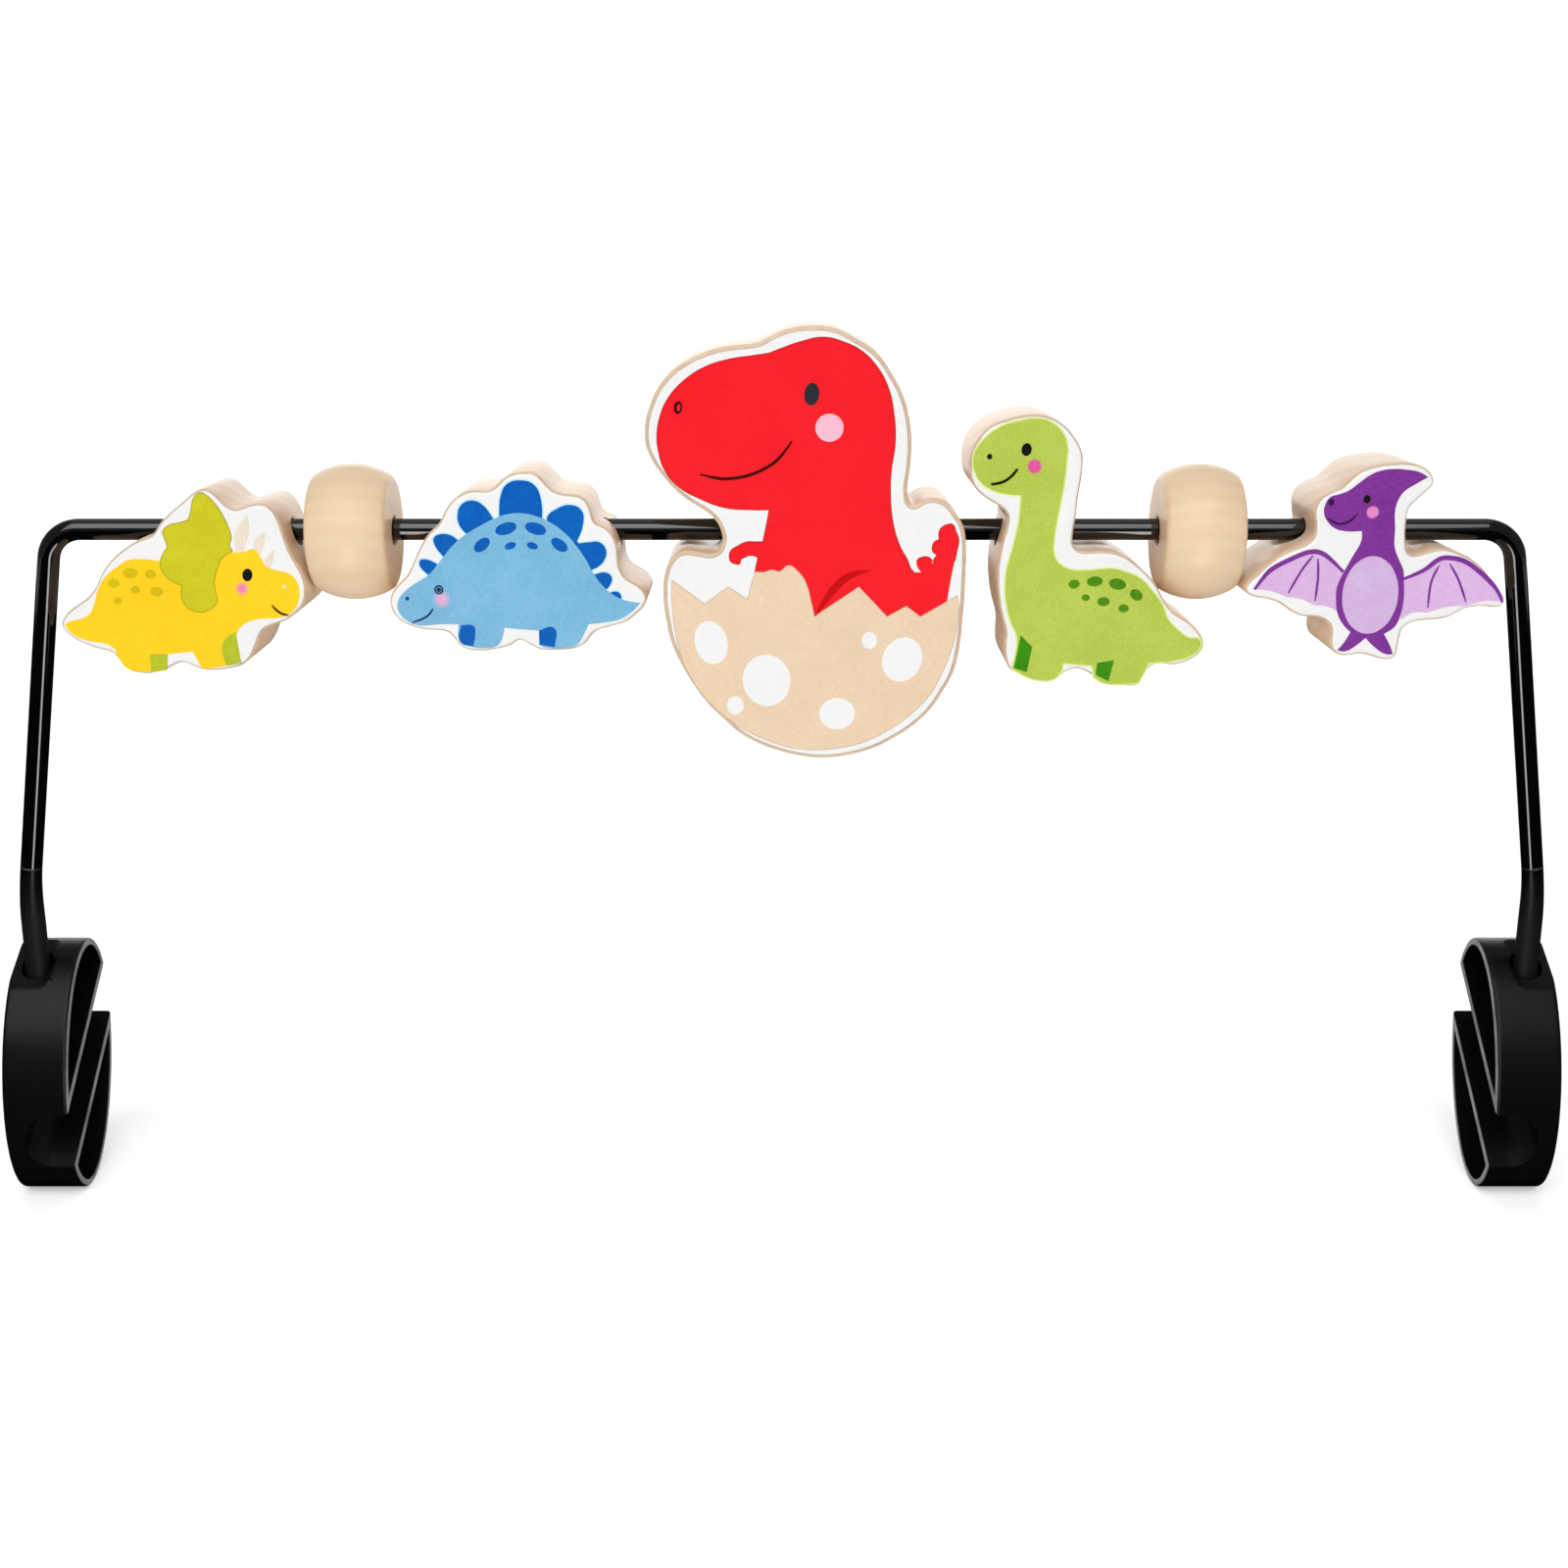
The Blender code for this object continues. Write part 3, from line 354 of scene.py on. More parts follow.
class ToyBarSizes(bpy.types.PropertyGroup):
    """Sizes of the finished pieces. What they are fitted to comes from the frame."""

    rod_diameter: length_property("Wire", "Diameter of the coated wire", 6.5)
    corner_radius: length_property("Corner radius", "Bend at each end of the bar", 10)
    bend_depth: length_property("Bend depth", "Depth of the leg's bend below the bar", 112)
    bend_radius: length_property("Bend radius", "Radius of the leg's bend", 110)
    leg_end_diameter: length_property("Leg end", "Diameter inside the sleeve", 5.7)
    sleeve_diameter: length_property("Sleeve", "Diameter of the vinyl sleeve", 7.3)
    sleeve_bore: length_property("Sleeve bore", "Bore of the vinyl sleeve", 6.3)
    sleeve_feather: length_property("Sleeve feather", "Length of its tapered top", 20)
    collar_diameter: length_property("Collar", "Diameter of the sleeve's collar", 9.2)
    collar_thickness: length_property("Collar thickness", "Height of the collar", 1.5)
    block_rounding: length_property("Block rounding", "Rounded edge of each block", 1.5)
    toy_bore: length_property("Toy bore", "Hole through blocks and beads", 8.4)
    bead_edge: length_property("Bead edge", "Rounding round a bead's flat ends", 2.8)
    coat_depth: length_property("Coat depth", "Ground coat's reach over small blocks", 0.35)
    big_coat_depth: length_property("Big coat depth", "The same on the biggest", 0.03)
    print_film: length_property("Print film", "How proud the lowest ink stands", 0.05)
    print_step: length_property("Print step", "Height of each ink over the one below", 0.03)
    clip_rim: length_property("Clip rim", "Rounding round the clip's outside", 1.1)
    clip_edge: length_property("Clip edge", "Rounding on the edges of the clip's walls", 0.22)
    clip_wall: length_property("Clip wall", "Thickness of the oval band", 2.2)
    clip_web: length_property("Clip web", "Thickness of the outer face", 1.8)
    channel_gap: length_property("Channel gap", "Width of the snap channel", 15.8)
    channel_reach: length_property("Channel reach", "Its depth across the clip", 14)
    channel_wall: length_property("Channel wall", "Thickness of its two walls", 2.0)
    snap_lip: length_property("Snap lip", "How far the lip narrows the channel", 0.5)
    seat_rib: length_property("Seat rib", "Height of the rib in the channel's seat", 0.35)
    pad_depth: length_property("Pad depth", "How deep the leg's pad is cut", 2.0)
    pad_width: length_property("Pad width", "How far it reaches across the band", 14)
    pad_corner: length_property("Pad corner", "Rounding along its inner side", 4.0)
    hole_offset: length_property("Hole offset", "The leg hole's place below the pad's middle", 1.9)
    mouth_diameter: length_property("Mouth", "Diameter of the leg hole's mouth", 10)
    mouth_depth: length_property("Mouth depth", "Depth of the leg hole's mouth", 6)
    boss_diameter: length_property("Boss", "Diameter of the boss round the leg", 13.6)
    leg_bore: length_property("Leg bore", "Bore that the sleeve turns in", 8.0)
    splay_deg: bpy.props.FloatProperty(
        name="Leg splay", description="Lean of each leg, in degrees", default=8.6, min=0, max=40
    )
    bead_shoulder_share: bpy.props.FloatProperty(
        name="Bead shoulder", description="Its share of the diameter", default=0.82, min=0.3, max=1
    )


class ToyBarColours(bpy.types.PropertyGroup):
    """Colours of the inks, the wood, the coating and the plastics."""

    white: colour_property("White", "Ground coat under the prints", 238, 237, 236)
    cream: colour_property("Cream", "Horns", 232, 222, 206)
    yellow: colour_property("Yellow", "Triceratops body", 252, 211, 35)
    yellow_blush: colour_property("Pink on yellow", "Triceratops cheek", 238, 140, 180)
    lime: colour_property("Lime", "Frill", 208, 203, 38)
    leaf_lime: colour_property("Leaf lime", "Triceratops legs", 188, 197, 48)
    olive: colour_property("Olive", "Triceratops spots", 216, 192, 18)
    olive_line: colour_property("Olive line", "Rim of the frill", 170, 150, 20)
    sky: colour_property("Sky", "Stegosaurus body", 132, 188, 218)
    sky_blush: colour_property("Pink on sky", "Stegosaurus cheek", 228, 180, 215)
    deep_blue: colour_property("Deep blue", "Plates and spots", 0, 103, 189)
    pale_sky: colour_property("Pale sky", "Rim of the plates", 196, 229, 242)
    scarlet: colour_property("Scarlet", "Tyrannosaurus", 241, 32, 42)
    maroon: colour_property("Maroon", "Rim of the scarlet", 172, 14, 24)
    fold_red: colour_property("Fold red", "Tyrannosaurus thigh line", 205, 6, 14)
    blush_pink: colour_property("Blush pink", "Tyrannosaurus cheek", 242, 190, 208)
    shell_tan: colour_property("Shell tan", "Eggshell", 232, 210, 183)
    shell_line: colour_property("Shell line", "Rim of the eggshell", 205, 178, 148)
    green: colour_property("Green", "Brachiosaurus", 187, 204, 88)
    pale_green: colour_property("Pale green", "Rim of the green", 222, 232, 160)
    green_blush: colour_property("Pink on green", "Brachiosaurus cheek", 226, 98, 168)
    forest: colour_property("Forest", "Brachiosaurus legs", 62, 148, 0)
    forest_spot: colour_property("Forest spot", "Brachiosaurus spots", 84, 146, 8)
    violet: colour_property("Violet", "Pterosaur", 136, 58, 158)
    wing_violet: colour_property("Wing violet", "Pterosaur wings", 220, 186, 224)
    lilac: colour_property("Lilac", "Pterosaur belly", 214, 186, 222)
    violet_blush: colour_property("Pink on violet", "Pterosaur cheek", 232, 148, 208)
    eye_black: colour_property("Eye black", "Eyes", 22, 20, 24)
    eye_slate: colour_property("Eye slate", "Stegosaurus eye", 32, 62, 96)
    eye_ring: colour_property("Eye ring", "Pale ring in the stegosaurus eye", 112, 152, 182)
    eye_grey: colour_property("Eye grey", "Tyrannosaurus eye", 45, 50, 58)
    line_brown: colour_property("Line brown", "Triceratops smile", 74, 46, 28)
    line_blue: colour_property("Line blue", "Stegosaurus smile", 28, 60, 110)
    line_maroon: colour_property("Line maroon", "Tyrannosaurus smile", 72, 6, 12)
    line_green: colour_property("Line green", "Brachiosaurus smile", 24, 34, 16)
    line_plum: colour_property("Line plum", "Pterosaur smile", 60, 16, 78)
    pale_wood: colour_property("Pale wood", "Lacquered wood, light grain", 231, 203, 174)
    dark_wood: colour_property("Dark wood", "Lacquered wood, dark grain", 201, 168, 136)
    bead_wood: colour_property("Bead wood", "Beads, light grain", 234, 207, 173)
    bead_grain: colour_property("Bead grain", "Beads, dark grain", 208, 173, 129)
    coating: colour_property("Coating", "Wire", 4, 4, 6)
    vinyl: colour_property("Vinyl", "Leg sleeves", 17, 17, 18)
    plastic: colour_property("Plastic", "Clips", 8, 8, 10)
    # Paler edges, part scuffing and part painted highlight; on the clips, only a painted highlight.
    scuff_and_highlight: colour_property("ScuffAndHighlight", "Worn edges of the plastic", 186, 186, 190)
    steel: colour_property("Steel", "Push-on washers", 190, 190, 194)
    floor: colour_property("Floor", "Studio floor", 249, 249, 249)


def sizes():
    return bpy.context.scene.toy_bar_sizes


def colour(name):
    """A colour of the scene's list, as shader sockets take it."""
    return (*getattr(bpy.context.scene.toy_bar_colours, name), 1.0)


# The places that the frame sets.
rod_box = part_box("toy_bar_rod")
washer_box = {side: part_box(side + "_push_on_washer") for side in ("left", "right")}
sleeve_box = {side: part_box(side + "_leg_sleeve") for side in ("left", "right")}


def leg_x(side):
    low, high = washer_box[side]
    return (low.x + high.x) / 2


def bar_axis():
    """The bar's distance along Y and its height."""
    low, high = washer_box["left"]
    return (low.y + high.y) / 2, rod_box[1].z - sizes().rod_diameter / 2


# Shader node groups and materials.


def add_node(tree, kind, **settings):
    made = tree.nodes.new(kind)
    for name, value in settings.items():
        setattr(made, name, value)
    return made


def put_in(tree, socket, value):
    """Links an output to a socket, or sets the socket to a plain value."""
    if isinstance(value, bpy.types.NodeSocket):
        tree.links.new(value, socket)
    else:
        socket.default_value = value


def feed(tree, target, **inputs):
    """Fills a node's named inputs. An underscore in a name stands for a space."""
    for name, value in inputs.items():
        put_in(tree, target.inputs[name.replace("_", " ")], value)
    return target


def new_group(name, inputs, outputs=("Colour", "Roughness", "Height")):
    """A shader node group, as its tree, the sockets of what it is given, and its output node."""
    tree = bpy.data.node_groups.new(name, "ShaderNodeTree")
    for label, default in inputs.items():
        kind = "NodeSocketColor" if isinstance(default, tuple) else "NodeSocketFloat"
        socket = tree.interface.new_socket(label, in_out="INPUT", socket_type=kind)
        socket.default_value = default
    for label in outputs:
        kind = "NodeSocketColor" if label == "Colour" else "NodeSocketFloat"
        tree.interface.new_socket(label, in_out="OUTPUT", socket_type=kind)
    return tree, tree.nodes.new("NodeGroupInput").outputs, tree.nodes.new("NodeGroupOutput")


def mapped_place(tree, **settings):
    """Object coordinates, moved and stretched."""
    place = add_node(tree, "ShaderNodeTexCoord").outputs["Object"]
    mapping = add_node(tree, "ShaderNodeMapping")
    return feed(tree, mapping, Vector=place, **settings).outputs["Vector"]


def place_along(tree, axis):
    """The object coordinate along one axis."""
    place = add_node(tree, "ShaderNodeTexCoord").outputs["Object"]
    return feed(tree, add_node(tree, "ShaderNodeSeparateXYZ"), Vector=place).outputs[axis]


def stretched_noise(tree, stretch, scale, detail):
    """Noise on object coordinates, scaled unlike along X, Y and Z."""
    noise = add_node(tree, "ShaderNodeTexNoise")
    place = mapped_place(tree, Scale=stretch)
    feed(tree, noise, Vector=place, Scale=scale, Detail=detail, Roughness=0.6)
    return noise.outputs["Fac"]


def spread(tree, value, low, high, to_low=0.0, to_high=1.0):
    """Maps a value's range onto another, held at its ends."""
    ramp = add_node(tree, "ShaderNodeMapRange")
    feed(tree, ramp, Value=value, From_Min=low, From_Max=high, To_Min=to_low, To_Max=to_high)
    return ramp.outputs["Result"]


def blend_colours(tree, share, first, second, kind="MIX"):
    mix = add_node(tree, "ShaderNodeMix", data_type="RGBA", blend_type=kind)
    for index, value in ((0, share), (6, first), (7, second)):
        put_in(tree, mix.inputs[index], value)
    return mix.outputs[2]


def calculate(tree, operation, first, second=0.0):
    made = add_node(tree, "ShaderNodeMath", operation=operation)
    put_in(tree, made.inputs[0], first)
    put_in(tree, made.inputs[1], second)
    return made.outputs[0]


def print_grain_group():
    """Ink laid on wood: fine streaks of the grain under it and a soft cloudiness."""
    inputs = {"Ink": (0.5, 0.5, 0.5, 1.0), "Streaks": 0.10, "Clouds": 0.06}
    tree, given, put = new_group("print_grain", inputs)
    across = stretched_noise(tree, (1.0, 1.0, 9.0), 420.0, 3.0)
    along = stretched_noise(tree, (7.0, 1.0, 1.0), 520.0, 2.0)
    weave = calculate(tree, "MULTIPLY", calculate(tree, "ADD", across, along), 0.5)
    clouds = stretched_noise(tree, (1.0, 1.0, 1.0), 55.0, 3.0)
    darker = calculate(tree, "MULTIPLY", spread(tree, weave, 0.40, 0.60), given["Streaks"])
    cloudy = calculate(tree, "MULTIPLY", spread(tree, clouds, 0.35, 0.65), given["Clouds"])
    shade = calculate(tree, "ADD", darker, cloudy)
    deep = blend_colours(tree, 1.0, given["Ink"], given["Ink"], "MULTIPLY")
    inked = blend_colours(tree, shade, given["Ink"], deep)
    feed(tree, put, Colour=inked, Height=weave, Roughness=spread(tree, weave, 0.35, 0.65, 0.42, 0.55))
    return tree


def sawn_grain_group():
    """Close pale wood: growth rings round an axis along X, drawn out along the grain."""
    inputs = {"Pale": (0.8, 0.6, 0.4, 1.0), "Dark": (0.6, 0.4, 0.2, 1.0), "Contrast": 0.5}
    tree, given, put = new_group("sawn_grain", inputs)
    wave = add_node(tree, "ShaderNodeTexWave", wave_type="RINGS", rings_direction="X")
    place = mapped_place(tree, Scale=(0.16, 1.0, 1.0), Location=(0.0, 0.11, 0.04))
    feed(tree, wave, Vector=place, Scale=62.0, Distortion=5.5, Detail=3.0, Detail_Scale=0.9)
    fibres = stretched_noise(tree, (0.05, 1.0, 1.0), 1500.0, 3.0)
    patches = stretched_noise(tree, (0.4, 1.0, 1.0), 38.0, 2.0)
    grain = calculate(tree, "MULTIPLY", wave.outputs["Fac"], 0.45)
    grain = calculate(tree, "ADD", grain, spread(tree, fibres, 0.35, 0.68, 0.0, 0.35))
    grain = calculate(tree, "ADD", grain, spread(tree, patches, 0.3, 0.7, 0.0, 0.30))
    share = calculate(tree, "MULTIPLY", grain, given["Contrast"])
    shade = blend_colours(tree, share, given["Pale"], given["Dark"])
    feed(tree, put, Colour=shade, Height=fibres, Roughness=spread(tree, fibres, 0.3, 0.7, 0.30, 0.42))
    return tree


def moulded_skin_group():
    """The fine skin of moulded or dipped plastic; paler edges, part scuff and part painted highlight.
    """
    inputs = {"Base": (0.02, 0.02, 0.02, 1.0), "ScuffAndHighlight": (0.2, 0.2, 0.2, 1.0), "Wear": 0.5}
    inputs |= {"Low Roughness": 0.38, "High Roughness": 0.52}
    tree, given, put = new_group("moulded_skin", inputs)
    fine = stretched_noise(tree, (1.0, 1.0, 1.0), 2600.0, 2.0)
    smears = stretched_noise(tree, (1.0, 1.0, 0.5), 70.0, 4.0)
    edges = add_node(tree, "ShaderNodeNewGeometry").outputs["Pointiness"]
    # Sharp edges paler: part scuffs, part painted highlight where edges catch the light.
    worn_and_lit = spread(tree, edges, 0.54, 0.62)
    broken = calculate(tree, "MULTIPLY", worn_and_lit, spread(tree, smears, 0.3, 0.5, 0.6, 1.0))
    share = calculate(tree, "MULTIPLY", broken, given["Wear"])
    shade = blend_colours(tree, share, given["Base"], given["ScuffAndHighlight"])
    rough = spread(tree, smears, 0.3, 0.7, given["Low Roughness"], given["High Roughness"])
    feed(tree, put, Colour=shade, Roughness=rough, Height=fine)
    return tree


def ground_coat_group():
    """White ground coat over a block's two faces and part of their rounded edges, and painted shade
    past it.
    """
    inputs = {"Wood": (0.8, 0.6, 0.4, 1.0), "Coat": (0.9, 0.9, 0.9, 1.0)}
    inputs |= {"Middle": 0.0, "Reach": 0.0146}
    tree, given, put = new_group("ground_coat", inputs, ("Colour",))
    offset = calculate(tree, "SUBTRACT", place_along(tree, "Y"), given["Middle"])
    depth = calculate(tree, "SUBTRACT", calculate(tree, "ABSOLUTE", offset), given["Reach"])
    waver = stretched_noise(tree, (1.0, 1.0, 1.0), 300.0, 2.0)
    depth = calculate(tree, "ADD", depth, spread(tree, waver, 0.3, 0.7, -0.04 * MM, 0.04 * MM))
    mask = spread(tree, depth, 0.0, 0.05 * MM)
    # Painted shade: a greyer line on the bare rounding just past the coat, where the edge turns from
    # the light.
    line = calculate(tree, "MULTIPLY", spread(tree, depth, -0.25 * MM, 0.0), 0.6)
    grey = blend_colours(tree, line, given["Wood"], (0.33, 0.29, 0.25, 1.0))
    feed(tree, put, Colour=blend_colours(tree, mask, grey, given["Coat"]))
    return tree


GROUP_MAKERS = {
    "ground_coat": ground_coat_group,
    "print_grain": print_grain_group,
    "sawn_grain": sawn_grain_group,
    "moulded_skin": moulded_skin_group,
}


def add_effect(tree, group, **values):
    """Places one of the shared groups, which is built when it is first asked for."""
    effect = add_node(tree, "ShaderNodeGroup")
    effect.node_tree = bpy.data.node_groups.get(group) or GROUP_MAKERS[group]()
    return feed(tree, effect, **values)


def surface(name, group, bump, depth, shader_values, **group_values):
    """A material and its effect node, which feeds what the shader's own sockets don't hold."""
    material = bpy.data.materials.new(name)
    material.use_nodes = True
    tree = material.node_tree
    shader = tree.nodes["Principled BSDF"]
    effect = add_effect(tree, group, **group_values)
    relief = add_node(tree, "ShaderNodeBump")
    feed(tree, relief, Height=effect.outputs["Height"], Strength=bump, Distance=depth)
    feed(tree, shader, Roughness=effect.outputs["Roughness"], Normal=relief.outputs["Normal"])
    feed(tree, shader, **{"Base Color": effect.outputs["Colour"], **shader_values})
    return material, effect


def wood_surface(name, pale, dark, contrast):
    lacquer = {"Coat Weight": 0.12, "Coat Roughness": 0.28, "Specular IOR Level": 0.2}
    grain = {"Pale": colour(pale), "Dark": colour(dark), "Contrast": contrast}
    return surface(name, "sawn_grain", 0.12, 0.02 * MM, lacquer, **grain)


def block_material(toy):
    """The block's wood, with the white ground coat over its faces."""
    low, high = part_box(toy)
    material, grain = wood_surface(toy + "_lacquered_wood", "pale_wood", "dark_wood", 0.5)
    tree = material.node_tree
    over = sizes().big_coat_depth if toy == "tyrannosaurus" else sizes().coat_depth
    coat = add_effect(tree, "ground_coat", Wood=grain.outputs["Colour"], Coat=colour("white"))
    feed(tree, coat, Middle=(low.y + high.y) / 2, Reach=(high.y - low.y) / 2 - over)
    feed(tree, tree.nodes["Principled BSDF"], Base_Color=coat.outputs["Colour"])
    return material


def ink_surface(name, ink):
    grain = {"Ink": colour(ink), "Streaks": 0.30, "Clouds": 0.18}
    return surface(name, "print_grain", 0.25, 0.02 * MM, {"Specular IOR Level": 0.08}, **grain)


def ink_material(ink):
    """The material of an ink, made once."""
    name = "ink_" + ink
    return bpy.data.materials.get(name) or ink_surface(name, ink)[0]


def blush_material(blush, under, centre, radius, core):
    """A cheek whose pink fades into the ink under it, away from its centre on the block's face."""
    material, effect = ink_surface(blush + "__soft", under)
    tree = material.node_tree
    flat = mapped_place(tree, Scale=(1.0, 0.0, 1.0), Location=(-centre[0], 0.0, -centre[1]))
    reach = feed(tree, add_node(tree, "ShaderNodeVectorMath", operation="LENGTH"), Vector=flat)
    share = spread(tree, reach.outputs["Value"], radius * core, radius, 1.0, 0.0)
    feed(tree, effect, Ink=blend_colours(tree, share, colour(under), colour(blush)))
    return material


def moulded_surface(name, bump, depth, shader_values, rough=(0.38, 0.52), **group_values):
    """Plastic, steel, paper or cloth, with its roughness between two values."""
    low, high = rough
    group_values |= {"Low Roughness": low, "High Roughness": high}
    return surface(name, "moulded_skin", bump, depth, shader_values, **group_values)


def coating_material():
    gloss = {"Coat Weight": 1.0, "Coat Roughness": 0.07, "Coat IOR": 1.6, "Specular IOR Level": 0.0}
    gloss["Base Color"] = colour("coating")
    return moulded_surface("gloss_black_coating", 0.10, 0.03 * MM, gloss, (0.16, 0.24))[0]


def vinyl_material():
    """Matte vinyl that fades in from the gloss of the wire's coating above it."""
    # The sleeve's sharp edges paler, part scuffs and part painted highlight.
    scuffs_and_highlights = {"ScuffAndHighlight": colour("scuff_and_highlight"), "Wear": 0.15}
    shine = {"Specular IOR Level": 0.16}
    material, skin = moulded_surface("matte_black_vinyl", 0.30, 0.03 * MM, shine, **scuffs_and_highlights)
    tree = material.node_tree
    top = sleeve_box["left"][1].z
    share = spread(tree, place_along(tree, "Z"), top - sizes().sleeve_feather, top, 1.0, 0.0)
    shade = blend_colours(tree, share, colour("coating"), colour("vinyl"))
    low = spread(tree, share, 0.0, 1.0, 0.20, 0.50)
    high = spread(tree, share, 0.0, 1.0, 0.28, 0.64)
    feed(tree, skin, Base=shade, Low_Roughness=low, High_Roughness=high)
    return material


def plastic_material():
    """Satin plastic, with a painted highlight that makes the clip's inner end faces paler."""
    shine = {"Specular IOR Level": 0.15}
    name, rough = "satin_black_plastic", (0.28, 0.34)
    material, skin = moulded_surface(name, 0.25, 0.03 * MM, shine, rough, Wear=0.0)
    tree = material.node_tree
    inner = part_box("right_clip")[0].x
    reach = calculate(tree, "ABSOLUTE", place_along(tree, "X"))
    # Painted highlight: the inner end faces, where the walls catch the light, are painted pale.
    lit_inner_face = spread(tree, reach, inner + 0.05 * MM, inner + 0.3 * MM, 1.0, 0.0)
    smears = stretched_noise(tree, (1.0, 1.0, 0.5), 90.0, 3.0)
    share = calculate(tree, "MULTIPLY", lit_inner_face, spread(tree, smears, 0.35, 0.6, 0.35, 0.6))
    feed(tree, skin, Base=blend_colours(tree, share, colour("plastic"), colour("scuff_and_highlight")))
    return material


def steel_material():
    plate = {"Metallic": 1.0, "Base Color": colour("steel")}
    return moulded_surface("plated_spring_steel", 0.25, 0.02 * MM, plate, (0.24, 0.40))[0]


# Modelling helpers.


def select_only(*objects):
    bpy.ops.object.select_all(action="DESELECT")
    for obj in objects:
        obj.select_set(True)
    bpy.context.view_layer.objects.active = objects[0]


def add_primitive(operator, **settings):
    """Adds a primitive with nothing else selected."""
    bpy.ops.object.select_all(action="DESELECT")
    operator(**settings)
    return bpy.context.object


def in_edit_mode(obj, *steps):
    """Runs the steps in edit mode on the whole of a mesh."""
    select_only(obj)
    bpy.ops.object.mode_set(mode="EDIT")
    bpy.ops.mesh.select_all(action="SELECT")
    for step in steps:
        step()
    bpy.ops.object.mode_set(mode="OBJECT")


def face_outwards():
    bpy.ops.mesh.normals_make_consistent(inside=False)


def merge_close(obj):
    in_edit_mode(obj, lambda: bpy.ops.mesh.remove_doubles(threshold=WELD), face_outwards)


def settle(obj):
    """Puts an object's place into its mesh, so that the object stands at the origin."""
    select_only(obj)
    bpy.ops.object.transform_apply(location=True, rotation=True, scale=True)
    return obj


def apply_modifier(obj, kind, **settings):
    modifier = obj.modifiers.new(kind.lower(), kind)
    for name, value in settings.items():
        setattr(modifier, name, value)
    select_only(obj)
    bpy.ops.object.modifier_apply(modifier=modifier.name)


def combine(obj, operation, *others):
    """Cuts the other pieces from a piece, or unites them with it, and removes them."""
    for other in others:
        apply_modifier(obj, "BOOLEAN", object=other, operation=operation, solver="EXACT")
        bpy.data.objects.remove(other)


def slice_evenly(obj, step, middle, count):
    """Divides the faces on planes a step apart, which keeps their shading even."""
    for number in range(-count, count + 1):
        place = middle + step * number
        in_edit_mode(obj, lambda: bpy.ops.mesh.bisect(plane_co=place, plane_no=step.normalized()))


def smooth(obj, angle_deg):
    select_only(obj)
    bpy.ops.object.shade_smooth_by_angle(angle=math.radians(angle_deg))


def dress(obj, name, body, material=None, nodes=()):
    """Names a finished piece, gives it its finish and hands it to the body that carries it."""
    obj.name = name
    obj.data.name = name
    if material is not None:
        obj.data.materials.clear()
        obj.data.materials.append(material)
    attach(obj, body)
    if nodes:
        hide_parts(*nodes)


def curve_to_mesh(obj):
    select_only(obj)
    bpy.ops.object.convert(target="MESH")
    made = settle(bpy.context.object)
    merge_close(made)
    return made


def swept(name, path, radii):
    """A round bar along a path, with a radius at each point, as one closed mesh."""
    obj = add_primitive(bpy.ops.object.add, type="CURVE")
    obj.name = name
    curve = obj.data
    curve.dimensions = "3D"
    widest = max(radii)
    curve.bevel_depth = widest
    curve.bevel_resolution = 9
    curve.use_fill_caps = True
    spline = curve.splines.new("POLY")
    spline.points.add(len(path) - 1)
    for point, place, radius in zip(spline.points, path, radii):
        point.co = (*place, 1.0)
        point.radius = radius / widest
    return curve_to_mesh(obj)


def flat_curve(name, thickness, rounding, widen=0.0):
    """A filled curve drawn out to either side of its plane, its edges rounded within its size."""
    obj = add_primitive(bpy.ops.object.add, type="CURVE")
    obj.name = name
    curve = obj.data
    curve.dimensions = "2D"
    curve.fill_mode = "BOTH"
    curve.extrude = thickness / 2 - rounding
    curve.offset = widen - rounding
    curve.bevel_depth = rounding
    curve.bevel_resolution = 3
    return obj


def slab(name, points, y, thickness, widen=0.0, steps=5, rounding=0.0):
    """A flat piece upright in the plane of the bar, from (x, z) points that may be corners."""
    obj = flat_curve(name, thickness, rounding, widen)
    obj.data.resolution_u = steps
    spline = obj.data.splines.new("BEZIER")
    spline.bezier_points.add(len(points) - 1)
    for point, (x, z, *corner) in zip(spline.bezier_points, points):
        point.co = (x, z, 0.0)
        kind = "VECTOR" if corner else "AUTO"
        point.handle_left_type = kind
        point.handle_right_type = kind
    spline.use_cyclic_u = True
    obj.location = (0.0, y, 0.0)
    obj.rotation_euler = (QUARTER_TURN, 0.0, 0.0)
    return curve_to_mesh(obj)


def prism(name, points, place, turn, length, rounding=0.0):
    """A straight piece: a closed outline on a turned plane, drawn out to either side of it."""
    obj = flat_curve(name, length, rounding)
    spline = obj.data.splines.new("POLY")
    spline.points.add(len(points) - 1)
    for point, (x, y) in zip(spline.points, points):
        point.co = (x, y, 0.0, 1.0)
    spline.use_cyclic_u = True
    obj.location = place
    obj.rotation_euler = turn
    return curve_to_mesh(obj)


# The wire and its sleeves.


def rounded_corner(before, corner, after, radius, steps):
    """The bend of a wire from one straight run to the next."""
    back = (before - corner).normalized()
    ahead = (after - corner).normalized()
    half = back.angle(ahead) / 2
    centre = corner + (back + ahead).normalized() * radius / math.sin(half)
    spoke = corner + back * radius / math.tan(half) - centre
    turn = math.pi - 2 * half
    if back.cross(ahead).y > 0:
        turn = -turn
    turns = [Matrix.Rotation(turn * step / steps, 3, "Y") for step in range(steps + 1)]
    return [centre + part @ spoke for part in turns]


def resampled(line, spacing):
    """The same line with points no further apart than the spacing."""
    points = [line[0]]
    for start, end in zip(line, line[1:]):
        steps = max(1, math.ceil((end - start).length / spacing))
        points += [start.lerp(end, step / steps) for step in range(1, steps + 1)]
    return points


